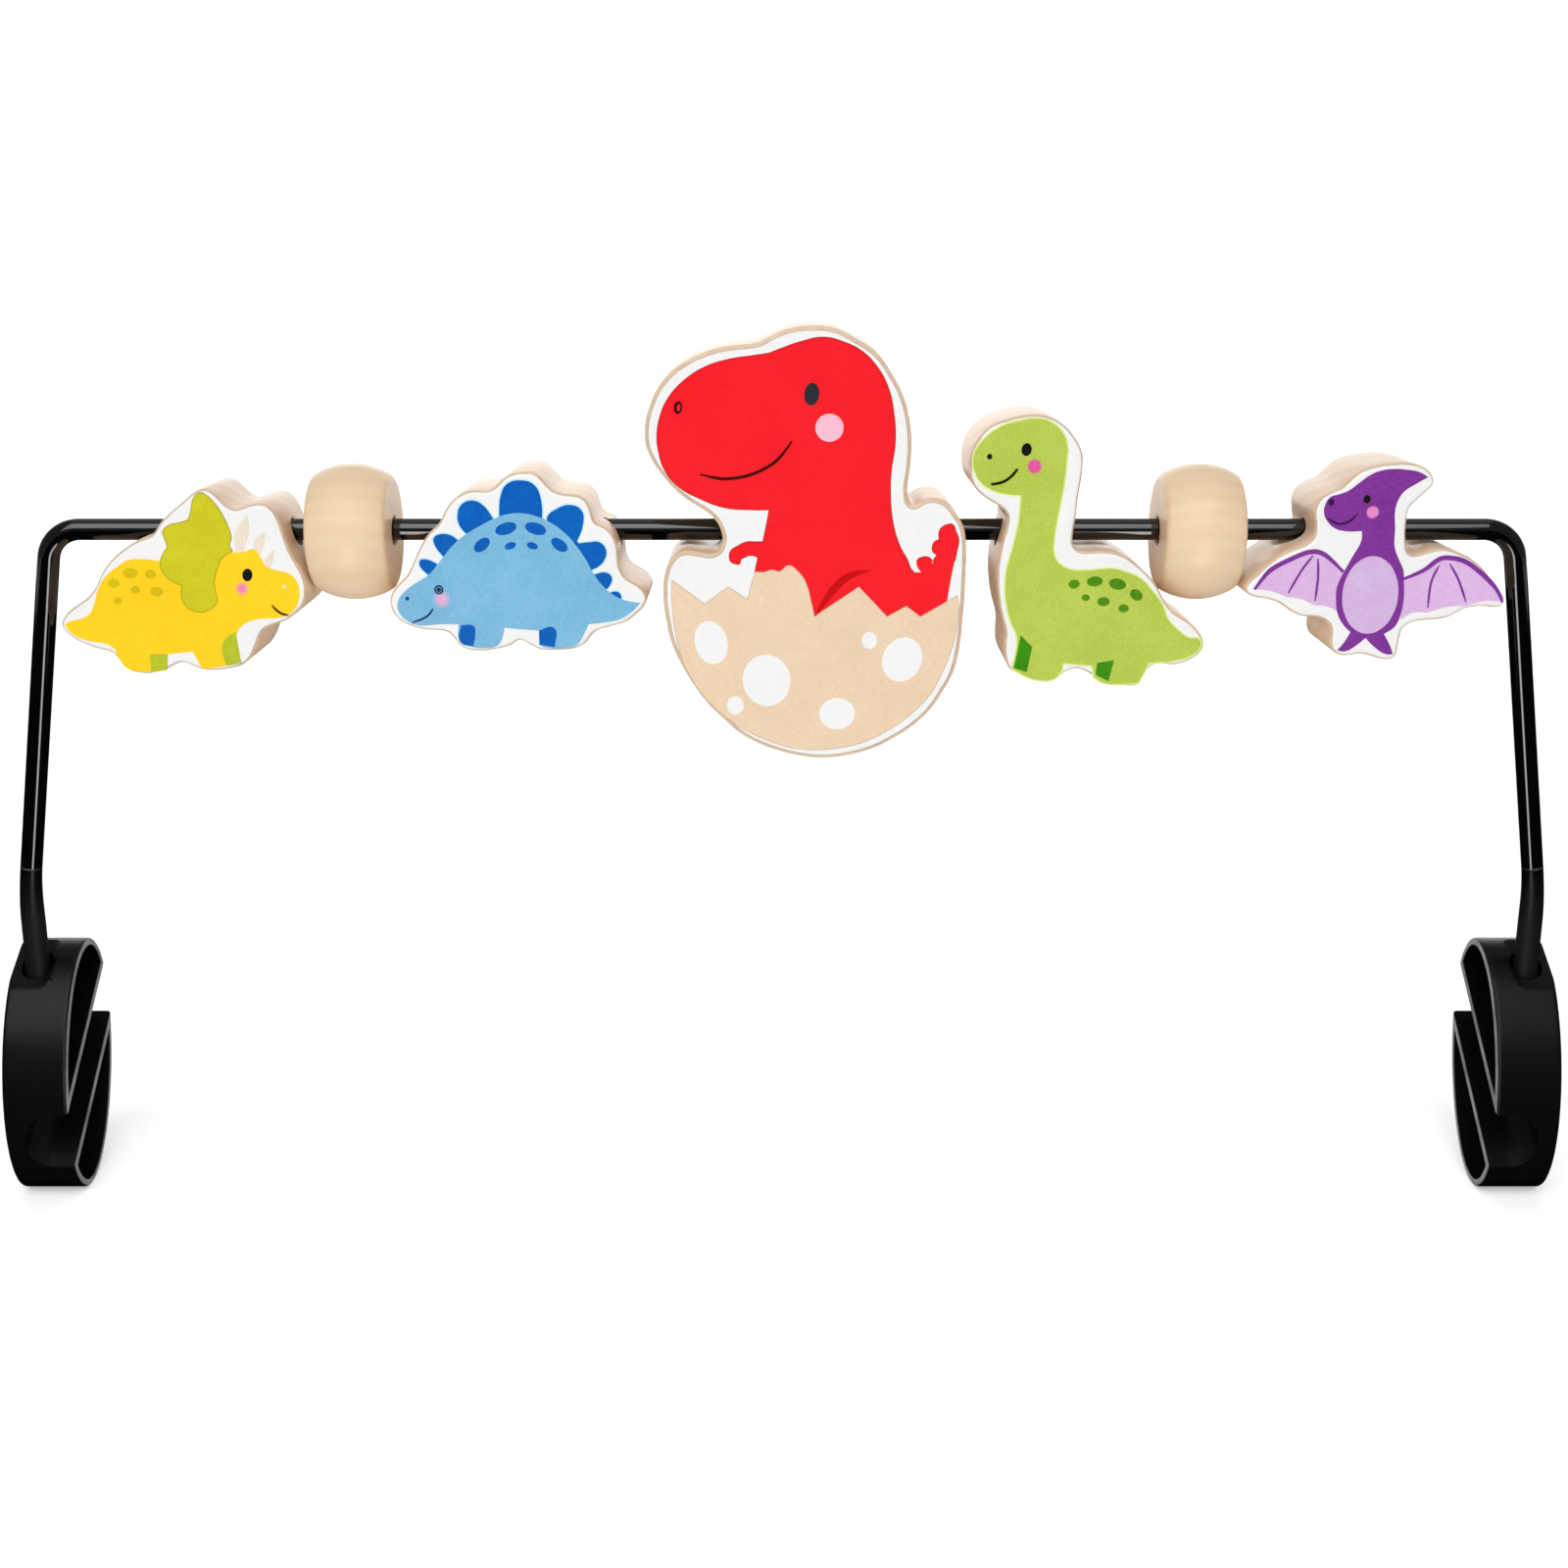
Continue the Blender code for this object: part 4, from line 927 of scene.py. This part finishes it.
def leg_line(side, sign, end_z):
    """The leg's centre line, from the bar's corner down to a height."""
    y, z = bar_axis()
    foot_x = leg_x(side)
    half_span = abs(foot_x) - sizes().bend_depth * math.tan(math.radians(sizes().splay_deg))
    corner = Vector((sign * half_span, y, z))
    bend = Vector((foot_x, y, z - sizes().bend_depth))
    end = Vector((foot_x, y, end_z))
    points = rounded_corner(Vector((0, y, z)), corner, bend, sizes().corner_radius, 20)
    points += rounded_corner(corner, bend, end, sizes().bend_radius, 12)
    points.append(end)
    return points


def cut_line_at(points, level):
    """A falling line split at a height, as (the part above, the part below)."""
    for index, (upper, lower) in enumerate(zip(points, points[1:])):
        if upper.z >= level > lower.z:
            middle = upper.lerp(lower, (upper.z - level) / (upper.z - lower.z))
            return points[: index + 1] + [middle], [middle] + points[index + 1 :]
    return points, []


def build_wire():
    """The bar and both legs in one, thinner inside the sleeves."""
    shoulder = sleeve_box["left"][1].z
    path, radii = [], []
    for side, sign in SIDES:
        thick, thin = cut_line_at(leg_line(side, sign, rod_box[0].z), shoulder)
        thin[0] = thick[-1].lerp(thin[1], 0.1)  # a short taper from thick to thin
        line = thick + thin
        radius = [sizes().rod_diameter / 2] * len(thick)
        radius += [sizes().leg_end_diameter / 2] * len(thin)
        path += line[::-1] if sign < 0 else line
        radii += radius[::-1] if sign < 0 else radius
    wire = swept("toy_bar_wire", path, radii)
    smooth(wire, 50.0)
    dress(wire, "toy_bar_wire", "arch", coating_material(), ["toy_bar_rod"])


def build_sleeve(side, sign):
    """A vinyl tube that feathers out from the wire, with the collar that sits in the clip."""
    low, high = sleeve_box[side]
    feather = sizes().sleeve_feather
    thick = sizes().sleeve_diameter / 2
    thin = sizes().rod_diameter / 2 + 0.02 * MM
    _, line = cut_line_at(leg_line(side, sign, low.z), high.z)
    path = resampled(line, 1.2 * MM)
    radii = []
    for point in path:
        share = min(1.0, (path[0].z - point.z) / feather)
        radii.append(thin + (thick - thin) * (1 - math.cos(share * math.pi)) / 2)
    outer = swept(side + "_vinyl_sleeve", path, radii)
    above = path[0] + (path[0] - path[1]).normalized() * feather
    below = path[-1] + (path[-1] - path[-2]).normalized() * feather
    bore_line = [above] + path[1:-1] + [below]
    bore = swept("sleeve_bore", bore_line, [sizes().sleeve_bore / 2] * len(bore_line))
    floor = leg_hole(side).z - sizes().mouth_depth + SEAT_GAP
    place = Vector((leg_x(side), bar_axis()[0], 0.0))
    top = floor + sizes().collar_thickness
    combine(outer, "UNION", upright_cylinder(place, sizes().collar_diameter, floor, top))
    combine(outer, "DIFFERENCE", bore)
    smooth(outer, 50.0)
    dress(outer, side + "_vinyl_sleeve", "arch", vinyl_material(), [side + "_leg_sleeve"])


# The clips.


def on_clip(depth, height):
    """Where a point of the clip's side view lies, with the oval's centre at the origin."""
    lean = math.radians(CLIP_LEAN_DEG)
    away = depth * math.cos(lean) + height * math.sin(lean)
    return Vector((0.0, away, height * math.cos(lean) - depth * math.sin(lean)))


def pad_place():
    """The pad's middle and the direction it faces."""
    turn = math.radians(PAD_TURN_DEG)
    across, along = math.cos(turn), math.sin(turn)
    touch = on_clip(-CLIP_DEPTH / 2 * across, CLIP_HEIGHT / 2 * along)
    facing = on_clip(-across / CLIP_DEPTH, along / CLIP_HEIGHT).normalized()
    return touch - facing * sizes().pad_depth, facing


def leg_hole(side):
    """The middle of the leg hole's mouth, on the pad."""
    middle, facing = pad_place()
    down_the_pad = Vector((0.0, -facing.z, facing.y))
    place = middle + down_the_pad * sizes().hole_offset
    place.x = leg_x(side)
    return place


def oval_section(inset):
    """The clip's oval in its side view, as distances along Y and Z."""
    points = []
    for step in range(CLIP_SIDES):
        turn = 2 * math.pi * (step + 0.5) / CLIP_SIDES
        depth = (CLIP_DEPTH / 2 - inset) * math.cos(turn)
        point = on_clip(depth, (CLIP_HEIGHT / 2 - inset) * math.sin(turn))
        points.append((point.y, point.z))
    return points


def channel_section(inner, sign):
    """The channel's open side and round seat, as distances along X and across the channel."""
    radius = sizes().channel_gap / 2
    seat = sizes().channel_reach - radius
    rib_turn, rib_spread = math.radians(-40), math.radians(4)
    points = [(-OVERRUN, -radius), (seat - 2 * sizes().snap_lip, -radius)]
    points.append((seat, sizes().snap_lip - radius))
    for step in range(6, 91):
        turn = math.pi * (step / 90 - 0.5)
        rib = max(0.0, 1 - abs(turn - rib_turn) / rib_spread) * sizes().seat_rib
        reach = radius - rib
        points.append((seat + reach * math.cos(turn), reach * math.sin(turn)))
    points.append((-OVERRUN, radius))
    return [(sign * (inner + x), y) for x, y in points]


def pad_section(outer, sign):
    """What is cut away above the pad, as distances along X and out of the pad."""
    inner = outer - sizes().pad_width
    corner = sizes().pad_corner
    rise = 8 * MM
    points = [(outer + OVERRUN, 0.0), (outer + OVERRUN, rise), (inner, rise)]
    for step in range(13):
        turn = math.pi / 2 * step / 12
        points.append((inner + corner * (1 - math.cos(turn)), corner * (1 - math.sin(turn))))
    return [(sign * x, y) for x, y in points]


def cylinder(centre, diameter, length, sides, turn):
    tool = bpy.ops.mesh.primitive_cylinder_add
    values = {"vertices": sides, "radius": diameter / 2, "depth": length}
    return settle(add_primitive(tool, **values, location=centre, rotation=turn))


def upright_cylinder(place, diameter, low, high):
    """A cutter or collar about the leg, between two heights."""
    centre = (place.x, place.y, (low + high) / 2)
    return cylinder(centre, diameter, high - low, 96, (0.0, 0.0, 0.0))


def clip_pockets(side, sign, inner):
    """The open room inside the oval either side of the channel, less the boss round the leg."""
    side_on = (QUARTER_TURN, 0.0, QUARTER_TURN)
    depth = CLIP_WIDTH - sizes().clip_web + OVERRUN
    middle = Vector((sign * (inner - OVERRUN + depth / 2), 0.0, 0.0))
    pockets = prism("pockets", oval_section(sizes().clip_wall), middle, side_on, depth)
    slant = math.radians(CHANNEL_SLANT_DEG)
    wall = sizes().channel_gap / 2 + sizes().channel_wall
    along = on_clip(math.sin(slant), math.cos(slant)) * CLIP_HEIGHT
    across = on_clip(math.cos(slant), -math.sin(slant)) * wall
    corners = (along + across, across - along, -along - across, along - across)
    band = prism("band", [(point.y, point.z) for point in corners], middle, side_on, depth * 2)
    hole = leg_hole(side)
    boss_end = washer_box[side][1].z + SEAT_GAP
    boss = upright_cylinder(hole, sizes().boss_diameter, boss_end, hole.z + HOLE_CUT_RISE)
    combine(pockets, "DIFFERENCE", band, boss)
    return pockets


def build_clip(side, sign):
    """The moulded clip: a band, its pockets, the snap channel, the leg's pad and its hole."""
    low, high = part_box(side + "_clip")
    inner = min(abs(low.x), abs(high.x))
    middle = Vector(((low.x + high.x) / 2, 0.0, 0.0))
    side_on = (QUARTER_TURN, 0.0, QUARTER_TURN)
    clip = prism("clip", oval_section(0.0), middle, side_on, CLIP_WIDTH, sizes().clip_rim)

    slant = -math.radians(CLIP_LEAN_DEG + CHANNEL_SLANT_DEG)
    section = channel_section(inner, sign)
    channel = prism("channel", section, Vector(), (slant, 0.0, 0.0), CLIP_HEIGHT)

    pad_middle, facing = pad_place()
    pad_turn = math.atan2(facing.z, facing.y)
    section = pad_section(inner + CLIP_WIDTH, sign)
    pad = prism("pad", section, pad_middle, (pad_turn, 0.0, 0.0), CLIP_DEPTH)

    hole = leg_hole(side)
    floor = hole.z - sizes().mouth_depth
    mouth = upright_cylinder(hole, sizes().mouth_diameter, floor, hole.z + HOLE_CUT_RISE)
    bore_end = washer_box[side][0].z - 2 * MM
    bore = upright_cylinder(hole, sizes().leg_bore, bore_end, hole.z)
    pockets = clip_pockets(side, sign, inner)
    combine(clip, "DIFFERENCE", pockets, channel, pad, mouth, bore)
    in_edit_mode(
        clip,
        lambda: bpy.ops.mesh.remove_doubles(threshold=WELD),
        lambda: bpy.ops.mesh.dissolve_limited(angle_limit=math.radians(0.2)),
    )
    sharp = {"limit_method": "ANGLE", "angle_limit": math.radians(50), "use_clamp_overlap": True}
    apply_modifier(clip, "BEVEL", width=sizes().clip_edge, segments=2, **sharp)
    slice_evenly(clip, Vector((2 * MM, 0.0, 0.0)), middle, 5)
    slice_evenly(clip, on_clip(0.0, 4 * MM), Vector(), 9)
    merge_close(clip)
    smooth(clip, 38.0)
    apply_modifier(clip, "WEIGHTED_NORMAL", keep_sharp=True)
    dress(clip, side + "_snap_clip", side + "_clip", plastic_material(), [side + "_clip"])


# The printed blocks.


def sawn_outline(toy):
    """The block's sawn outline in order, where its straight side meets the front rounding."""
    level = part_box(toy)[0].y + sizes().block_rounding
    bm = bmesh.new()
    bm.from_mesh(frame["nodes"][toy].data)
    bmesh.ops.remove_doubles(bm, verts=bm.verts, dist=WELD)
    ring = [v for v in bm.verts if abs(v.co.y - level) < 0.01 * MM]
    links = {v: [] for v in ring}
    for edge in bm.edges:
        first, second = edge.verts
        if first in links and second in links:
            links[first].append(second)
            links[second].append(first)
    start = min(ring, key=lambda v: (v.co.x, v.co.z))
    walk, seen = [start], {start}
    while onward := [v for v in links[walk[-1]] if v not in seen]:
        walk.append(onward[0])
        seen.add(onward[0])
    points = [(v.co.x, v.co.z) for v in walk]
    bm.free()
    if len(points) < 40:
        raise RuntimeError(f"{toy}: only {len(points)} points of the sawn outline were found")
    return points


def bar_bore(toy):
    """The cutter for the hole that the wire goes through. The toy hangs a little on the wire."""
    low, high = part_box(toy)
    y, z = bar_axis()
    hang = (sizes().toy_bore - sizes().rod_diameter) / 2 - SEAT_GAP
    centre = ((low.x + high.x) / 2, y, z - hang)
    return cylinder(centre, sizes().toy_bore, (high.x - low.x) * 1.2, 64, (0.0, QUARTER_TURN, 0.0))


def build_block(toy):
    """The sawn and bored block. Its outline is given back for the print."""
    low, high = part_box(toy)
    outline = sawn_outline(toy)
    shape = {"steps": 3, "rounding": sizes().block_rounding}
    block = slab(toy + "_block", outline, (low.y + high.y) / 2, high.y - low.y, **shape)
    combine(block, "DIFFERENCE", bar_bore(toy))
    smooth(block, 40.0)
    dress(block, toy + "_block", toy, block_material(toy), [toy])
    return outline


def face_place(toy):
    """Maps percent of the block's width and height to metres on its face."""
    low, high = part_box(toy)
    width, height = TOY_SIZES[toy]

    def place(point):
        return (low.x + width * point[0] / 100, high.z - height + height * point[1] / 100)

    return place


def oval_points(centre, width, height, turn_deg, count=12):
    turn = math.radians(turn_deg)
    cosine, sine = math.cos(turn), math.sin(turn)
    points = []
    for step in range(count):
        angle = 2 * math.pi * step / count
        x, z = math.cos(angle) * width / 2, math.sin(angle) * height / 2
        points.append((centre[0] + x * cosine - z * sine, centre[1] + x * sine + z * cosine))
    return points


def smooth_line(points, steps=6):
    """Points along a smooth line through the given ones."""
    held = [Vector(p) for p in [points[0], *points, points[-1]]]
    line = []
    for a, b, c, d in zip(held, held[1:], held[2:], held[3:]):
        for step in range(steps):
            t = step / steps
            place = 2 * b + (c - a) * t
            place += (2 * a - 5 * b + 4 * c - d) * t**2
            place += (3 * b - a - 3 * c + d) * t**3
            line.append(0.5 * place)
    line.append(held[-2])
    return line


def line_outline(points, width, tip):
    """The outline of a pen line, full in the middle and thinner at its round ends."""
    line = smooth_line(points)
    last = len(line) - 1
    left, right = [], []
    for index, point in enumerate(line):
        ahead = line[min(index + 1, last)] - line[max(index - 1, 0)]
        across = Vector((-ahead.y, ahead.x)).normalized()
        share = math.sin(math.pi * index / last)
        half = width / 2 * (tip + (1 - tip) * min(1.0, share * 1.6))
        left.append(tuple(point + across * half))
        right.append(tuple(point - across * half))
    return left + right[::-1]


def printed_outline(item, place):
    if "points" in item:
        return [(*place(point), *point[2:]) for point in item["points"]]
    if "oval" in item:
        return oval_points(place(item["centre"]), *item["oval"])
    return line_outline([place(point) for point in item["line"]], item["width"], item["tip"])


def print_layer(toy, outline, ink, level, widen=0.0):
    """One ink area, standing a hair proud of the front face and bedded in the wood behind."""
    bed = 0.25 * MM
    proud = sizes().print_film + sizes().print_step * level
    face_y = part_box(toy)[0].y
    layer = slab(toy + "_ink", outline, face_y + (bed - proud) / 2, bed + proud, widen=widen)
    layer.data.materials.append(ink)
    return layer


def build_print(toy, outline):
    """The printed layers on the front, joined, and the same in mirror image on the back."""
    place = face_place(toy)
    ground_inset = sizes().block_rounding * GROUND_INSET_SHARE
    layers = [print_layer(toy, outline, ink_material("white"), 0, -ground_inset)]
    for item in PRINTS[toy]:
        shape = printed_outline(item, place)
        if item["rim"]:
            rim_ink = ink_material(item["rim"])
            layers.append(print_layer(toy, shape, rim_ink, item["level"] - 0.5, item["rim_width"]))
        if item["ink"].endswith("_blush"):
            spot = (place(item["centre"]), item["oval"][0] / 2)
            core = CHEEK_CORES.get(toy, SOFT_CHEEK_CORE)
            ink = blush_material(item["ink"], BODY_INKS[toy], *spot, core)
        else:
            ink = ink_material(item["ink"])
        layers.append(print_layer(toy, shape, ink, item["level"]))
    select_only(*layers)
    bpy.ops.object.join()
    front = bpy.context.object
    back = front.copy()
    back.data = front.data.copy()
    bpy.context.scene.collection.objects.link(back)
    low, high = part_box(toy)
    back.scale.y = -1.0
    back.location.y = low.y + high.y
    in_edit_mode(settle(back), face_outwards)
    for obj, word in ((front, "front"), (back, "back")):
        smooth(obj, 30.0)
        dress(obj, f"{toy}_{word}_print", toy)


# The beads.


def turned(name, profile, centre):
    """A turned piece about a line along X through its centre, from (x, radius) points."""
    obj = settle(add_primitive(bpy.ops.mesh.primitive_plane_add, size=MM, location=centre))
    obj.name = name
    x, radius = profile[0]
    bpy.ops.object.mode_set(mode="EDIT")
    bpy.ops.mesh.select_mode(type="VERT")
    bpy.ops.mesh.select_all(action="SELECT")
    bpy.ops.mesh.merge(type="CENTER")
    bpy.ops.transform.translate(value=(x, 0.0, radius))
    for (x0, r0), (x1, r1) in zip(profile, profile[1:] + profile[:1]):
        move = {"value": (x1 - x0, 0.0, r1 - r0)}
        bpy.ops.mesh.extrude_region_move(TRANSFORM_OT_translate=move)
    bpy.ops.mesh.select_all(action="SELECT")
    bpy.ops.mesh.remove_doubles(threshold=0.001 * MM)
    bpy.ops.mesh.select_all(action="SELECT")
    bpy.ops.mesh.spin(steps=96, angle=2 * math.pi, center=centre, axis=(1.0, 0.0, 0.0))
    bpy.ops.object.mode_set(mode="OBJECT")
    merge_close(obj)
    return obj


def round_edge(centre, start_deg, end_deg, radius, steps=8):
    """Points of an arc about a centre, as (x, radius) pairs."""
    points = []
    for step in range(steps + 1):
        angle = math.radians(start_deg + (end_deg - start_deg) * step / steps)
        points.append((centre[0] + radius * math.cos(angle), centre[1] + radius * math.sin(angle)))
    return points


def bead_profile(width, diameter):
    """The barrel's section above its axis: bore, flat ends, round shoulders, swelling side."""
    half, top = width / 2, diameter / 2
    bore, lip, edge = sizes().toy_bore / 2, 0.5 * MM, sizes().bead_edge
    rise = top * (1 - sizes().bead_shoulder_share)
    swell = (half**2 + rise**2) / (2 * rise)
    lean = math.asin((half - edge) / (swell - edge))
    lean_deg = math.degrees(lean)
    shoulder = (half - edge, (swell - edge) * math.cos(lean) - swell + top)
    right = round_edge(shoulder, 0, 90 - lean_deg, edge)
    side = round_edge((0.0, top - swell), 90 - lean_deg, 90 + lean_deg, swell, 32)
    left = [(-x, radius) for x, radius in reversed(right)]
    profile = [(half - lip, bore), (half, bore + lip), *right, *side[1:-1], *left]
    return profile + [(-half, bore + lip), (lip - half, bore)]


def build_bead(bead):
    low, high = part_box(bead)
    centre = tuple((low + high) / 2)
    piece = turned(bead + "_turned", bead_profile(high.x - low.x, high.z - low.z), centre)
    smooth(piece, 40.0)
    wood, _ = wood_surface(bead + "_lacquered_wood", "bead_wood", "bead_grain", 0.25)
    dress(piece, bead + "_turned", bead, wood, [bead])


# The studio.


def select_edges(mesh, wanted):
    """Selects the edges whose two ends both pass a test, from object mode."""
    for edge in mesh.edges:
        edge.select = all(wanted(mesh.vertices[index].co) for index in edge.vertices)


def build_floor():
    """A sweep: a floor that curves up into a backdrop."""
    floor_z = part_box("left_clip")[0].z
    width, depth, wall_height, bend_radius = 9.0, 6.0, 4.0, 1.6
    plane = bpy.ops.mesh.primitive_plane_add
    floor = add_primitive(plane, size=1.0, location=(0.0, 0.0, floor_z))
    floor.name = "studio_sweep"
    floor.scale = (width, depth, 1.0)
    settle(floor)
    bpy.ops.object.mode_set(mode="EDIT")
    bpy.ops.mesh.select_mode(type="EDGE")
    bpy.ops.mesh.select_all(action="DESELECT")
    bpy.ops.object.mode_set(mode="OBJECT")
    select_edges(floor.data, lambda end: end.y > 1.0)
    bpy.ops.object.mode_set(mode="EDIT")
    bpy.ops.mesh.extrude_region_move(TRANSFORM_OT_translate={"value": (0.0, 0.0, wall_height)})
    bpy.ops.object.mode_set(mode="OBJECT")
    select_edges(floor.data, lambda end: end.y > 1.0 and abs(end.z - floor_z) < 0.01)
    bpy.ops.object.mode_set(mode="EDIT")
    bpy.ops.mesh.bevel(offset=bend_radius, segments=24, profile=0.5)
    bpy.ops.object.mode_set(mode="OBJECT")
    smooth(floor, 60.0)
    paper = {"Specular IOR Level": 0.2, "Emission Strength": 0.4}
    paper |= {"Base Color": colour("floor"), "Emission Color": colour("floor")}
    material, _ = moulded_surface("studio_paper", 0.05, 0.05 * MM, paper, (0.75, 0.85))
    floor.data.materials.append(material)


def add_softbox(name, place, target, size, watts, tint):
    data = bpy.data.lights.new(name, "AREA")
    data.shape = "RECTANGLE"
    data.size, data.size_y = size
    data.energy = watts
    data.spread = math.radians(100)
    data.color = tint
    lamp = bpy.data.objects.new(name, data)
    lamp.location = place
    lamp.rotation_euler = (Vector(target) - Vector(place)).to_track_quat("-Z", "Y").to_euler()
    lamp.visible_camera = False
    bpy.context.scene.collection.objects.link(lamp)


def build_lights():
    middle = (0.0, 0.0, 0.14)
    cool, neutral = (0.95, 0.98, 1.0), (0.99, 1.0, 1.0)
    add_softbox("key_softbox", (-0.10, -0.80, 0.90), middle, (1.5, 1.0), 5.25, neutral)
    add_softbox("top_softbox", (0.0, 0.2, 1.3), middle, (1.6, 0.7), 0.6, cool)
    add_softbox("backdrop_light", (0.0, 1.5, 2.6), (0.0, 2.8, 0.3), (3.5, 1.0), 45.0, neutral)
    world = bpy.data.worlds.new("studio_white")
    world.use_nodes = True
    shade = world.node_tree.nodes["Background"]
    shade.inputs["Color"].default_value = (1.0, 1.0, 1.0, 1.0)
    shade.inputs["Strength"].default_value = 0.16
    bpy.context.scene.world = world
    bpy.context.scene.view_settings.view_transform = "Standard"


def reflection_card(name, size, place, tilt_deg, turn_deg, shade, glow):
    """A card that is seen only as a reflection in the glossy pieces."""
    grid = bpy.ops.mesh.primitive_grid_add
    card = add_primitive(grid, x_subdivisions=8, y_subdivisions=8, size=1.0)
    card.name = name
    card.scale = (*size, 1.0)
    card.rotation_euler = (math.radians(tilt_deg), 0.0, math.radians(turn_deg))
    card.location = place
    settle(card)
    cloth = {"Specular IOR Level": 0.0, "Emission Strength": glow}
    cloth |= {"Base Color": shade, "Emission Color": shade}
    card.data.materials.append(moulded_surface(name + "_cloth", 0.10, 0.03 * MM, cloth)[0])
    card.visible_camera = False
    card.visible_diffuse = False
    card.visible_shadow = False


def build_cards():
    """A dark card that paints the floor's reflection dark, and a narrow bright card for each leg's
    glint.
    """
    black, white = (0.004, 0.004, 0.004, 1.0), (1.0, 0.97, 0.94, 1.0)
    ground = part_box("left_clip")[0].z
    # Painted dark reflection: the card is seen only in glossy reflections, where it hides the bright
    # floor.
    dark_card_place = (0.0, 0.0, ground + 0.2 * MM)
    reflection_card("dark_reflection_card", (6.0, 5.0), dark_card_place, 0.0, 0.0, black, 0.0)
    for side, sign in SIDES:
        place = (leg_x(side) - sign * 100 * MM, -173 * MM, ground + 80 * MM)
        name = side + "_glint_card"
        reflection_card(name, (0.06, 0.156), place, -90.0, -30.0 * sign, white, 6.0)


def build_camera():
    data = bpy.data.cameras.new("photo_camera")
    data.sensor_width = 36.0
    data.lens = FOCAL_PIXELS / PHOTO_PIXELS * data.sensor_width
    data.shift_x = (PHOTO_PIXELS / 2 - AXIS_PIXEL_X) / PHOTO_PIXELS
    camera = bpy.data.objects.new("photo_camera", data)
    camera.location = CAMERA_PLACE
    camera.rotation_euler = (math.radians(90 - CAMERA_PITCH_DEG), 0.0, 0.0)
    bpy.context.scene.collection.objects.link(camera)
    bpy.context.scene.camera = camera


class TOYBAR_OT_wire(bpy.types.Operator):
    """Build the coated wire"""

    bl_idname = "toybar.wire"
    bl_label = "Wire"

    def execute(self, context):
        build_wire()
        return {"FINISHED"}


class TOYBAR_OT_sleeves(bpy.types.Operator):
    """Build the two vinyl leg sleeves"""

    bl_idname = "toybar.sleeves"
    bl_label = "Leg sleeves"

    def execute(self, context):
        for side, sign in SIDES:
            build_sleeve(side, sign)
        return {"FINISHED"}


class TOYBAR_OT_clips(bpy.types.Operator):
    """Build the two moulded snap clips"""

    bl_idname = "toybar.clips"
    bl_label = "Snap clips"

    def execute(self, context):
        for side, sign in SIDES:
            build_clip(side, sign)
        return {"FINISHED"}


class TOYBAR_OT_washers(bpy.types.Operator):
    """Give the push-on washers their plated finish"""

    bl_idname = "toybar.washers"
    bl_label = "Push-on washers"

    def execute(self, context):
        material = steel_material()
        for side, _ in SIDES:
            washer = frame["nodes"][side + "_push_on_washer"]
            washer.data.materials.clear()
            washer.data.materials.append(material)
        return {"FINISHED"}


class TOYBAR_OT_toys(bpy.types.Operator):
    """Build the sawn wooden blocks and their prints"""

    bl_idname = "toybar.toys"
    bl_label = "Printed toys"

    def execute(self, context):
        for toy in TOY_SIZES:
            build_print(toy, build_block(toy))
        return {"FINISHED"}


class TOYBAR_OT_beads(bpy.types.Operator):
    """Build the two turned wooden beads"""

    bl_idname = "toybar.beads"
    bl_label = "Beads"

    def execute(self, context):
        for side, _ in SIDES:
            build_bead(side + "_bead")
        return {"FINISHED"}


class TOYBAR_OT_stage(bpy.types.Operator):
    """Set up the floor, the lights and the camera"""

    bl_idname = "toybar.stage"
    bl_label = "Studio"

    def execute(self, context):
        build_floor()
        build_lights()
        build_cards()
        build_camera()
        return {"FINISHED"}


class TOYBAR_PT_panel(bpy.types.Panel):
    """Lists the steps that build the toy bar"""

    bl_idname = "TOYBAR_PT_panel"
    bl_label = "Toy bar"
    bl_space_type = "VIEW_3D"
    bl_region_type = "UI"
    bl_category = "Toy bar"

    def draw(self, context):
        for operator in OPERATORS:
            self.layout.operator(operator.bl_idname)
        for group in (context.scene.toy_bar_sizes, context.scene.toy_bar_colours):
            box = self.layout.box()
            for name in type(group).__annotations__:
                box.prop(group, name)


OPERATORS = (
    TOYBAR_OT_stage,
    TOYBAR_OT_wire,
    TOYBAR_OT_sleeves,
    TOYBAR_OT_clips,
    TOYBAR_OT_washers,
    TOYBAR_OT_toys,
    TOYBAR_OT_beads,
)
CLASSES = (ToyBarSizes, ToyBarColours, *OPERATORS, TOYBAR_PT_panel)


def register():
    for cls in CLASSES:
        bpy.utils.register_class(cls)
    bpy.types.Scene.toy_bar_sizes = bpy.props.PointerProperty(type=ToyBarSizes)
    bpy.types.Scene.toy_bar_colours = bpy.props.PointerProperty(type=ToyBarColours)


def unregister():
    del bpy.types.Scene.toy_bar_colours
    del bpy.types.Scene.toy_bar_sizes
    for cls in reversed(CLASSES):
        bpy.utils.unregister_class(cls)


def clear_startup_objects():
    """Removes what a new scene holds beside the frame."""
    kept = set(frame["nodes"].values()) | set(frame["bodies"].values())
    for obj in list(bpy.data.objects):
        if obj not in kept:
            bpy.data.objects.remove(obj)


def main():
    register()
    clear_startup_objects()
    bpy.ops.toybar.stage()
    bpy.ops.toybar.wire()
    bpy.ops.toybar.sleeves()
    bpy.ops.toybar.clips()
    bpy.ops.toybar.washers()
    bpy.ops.toybar.toys()
    bpy.ops.toybar.beads()


if __name__ == "__main__":
    main()
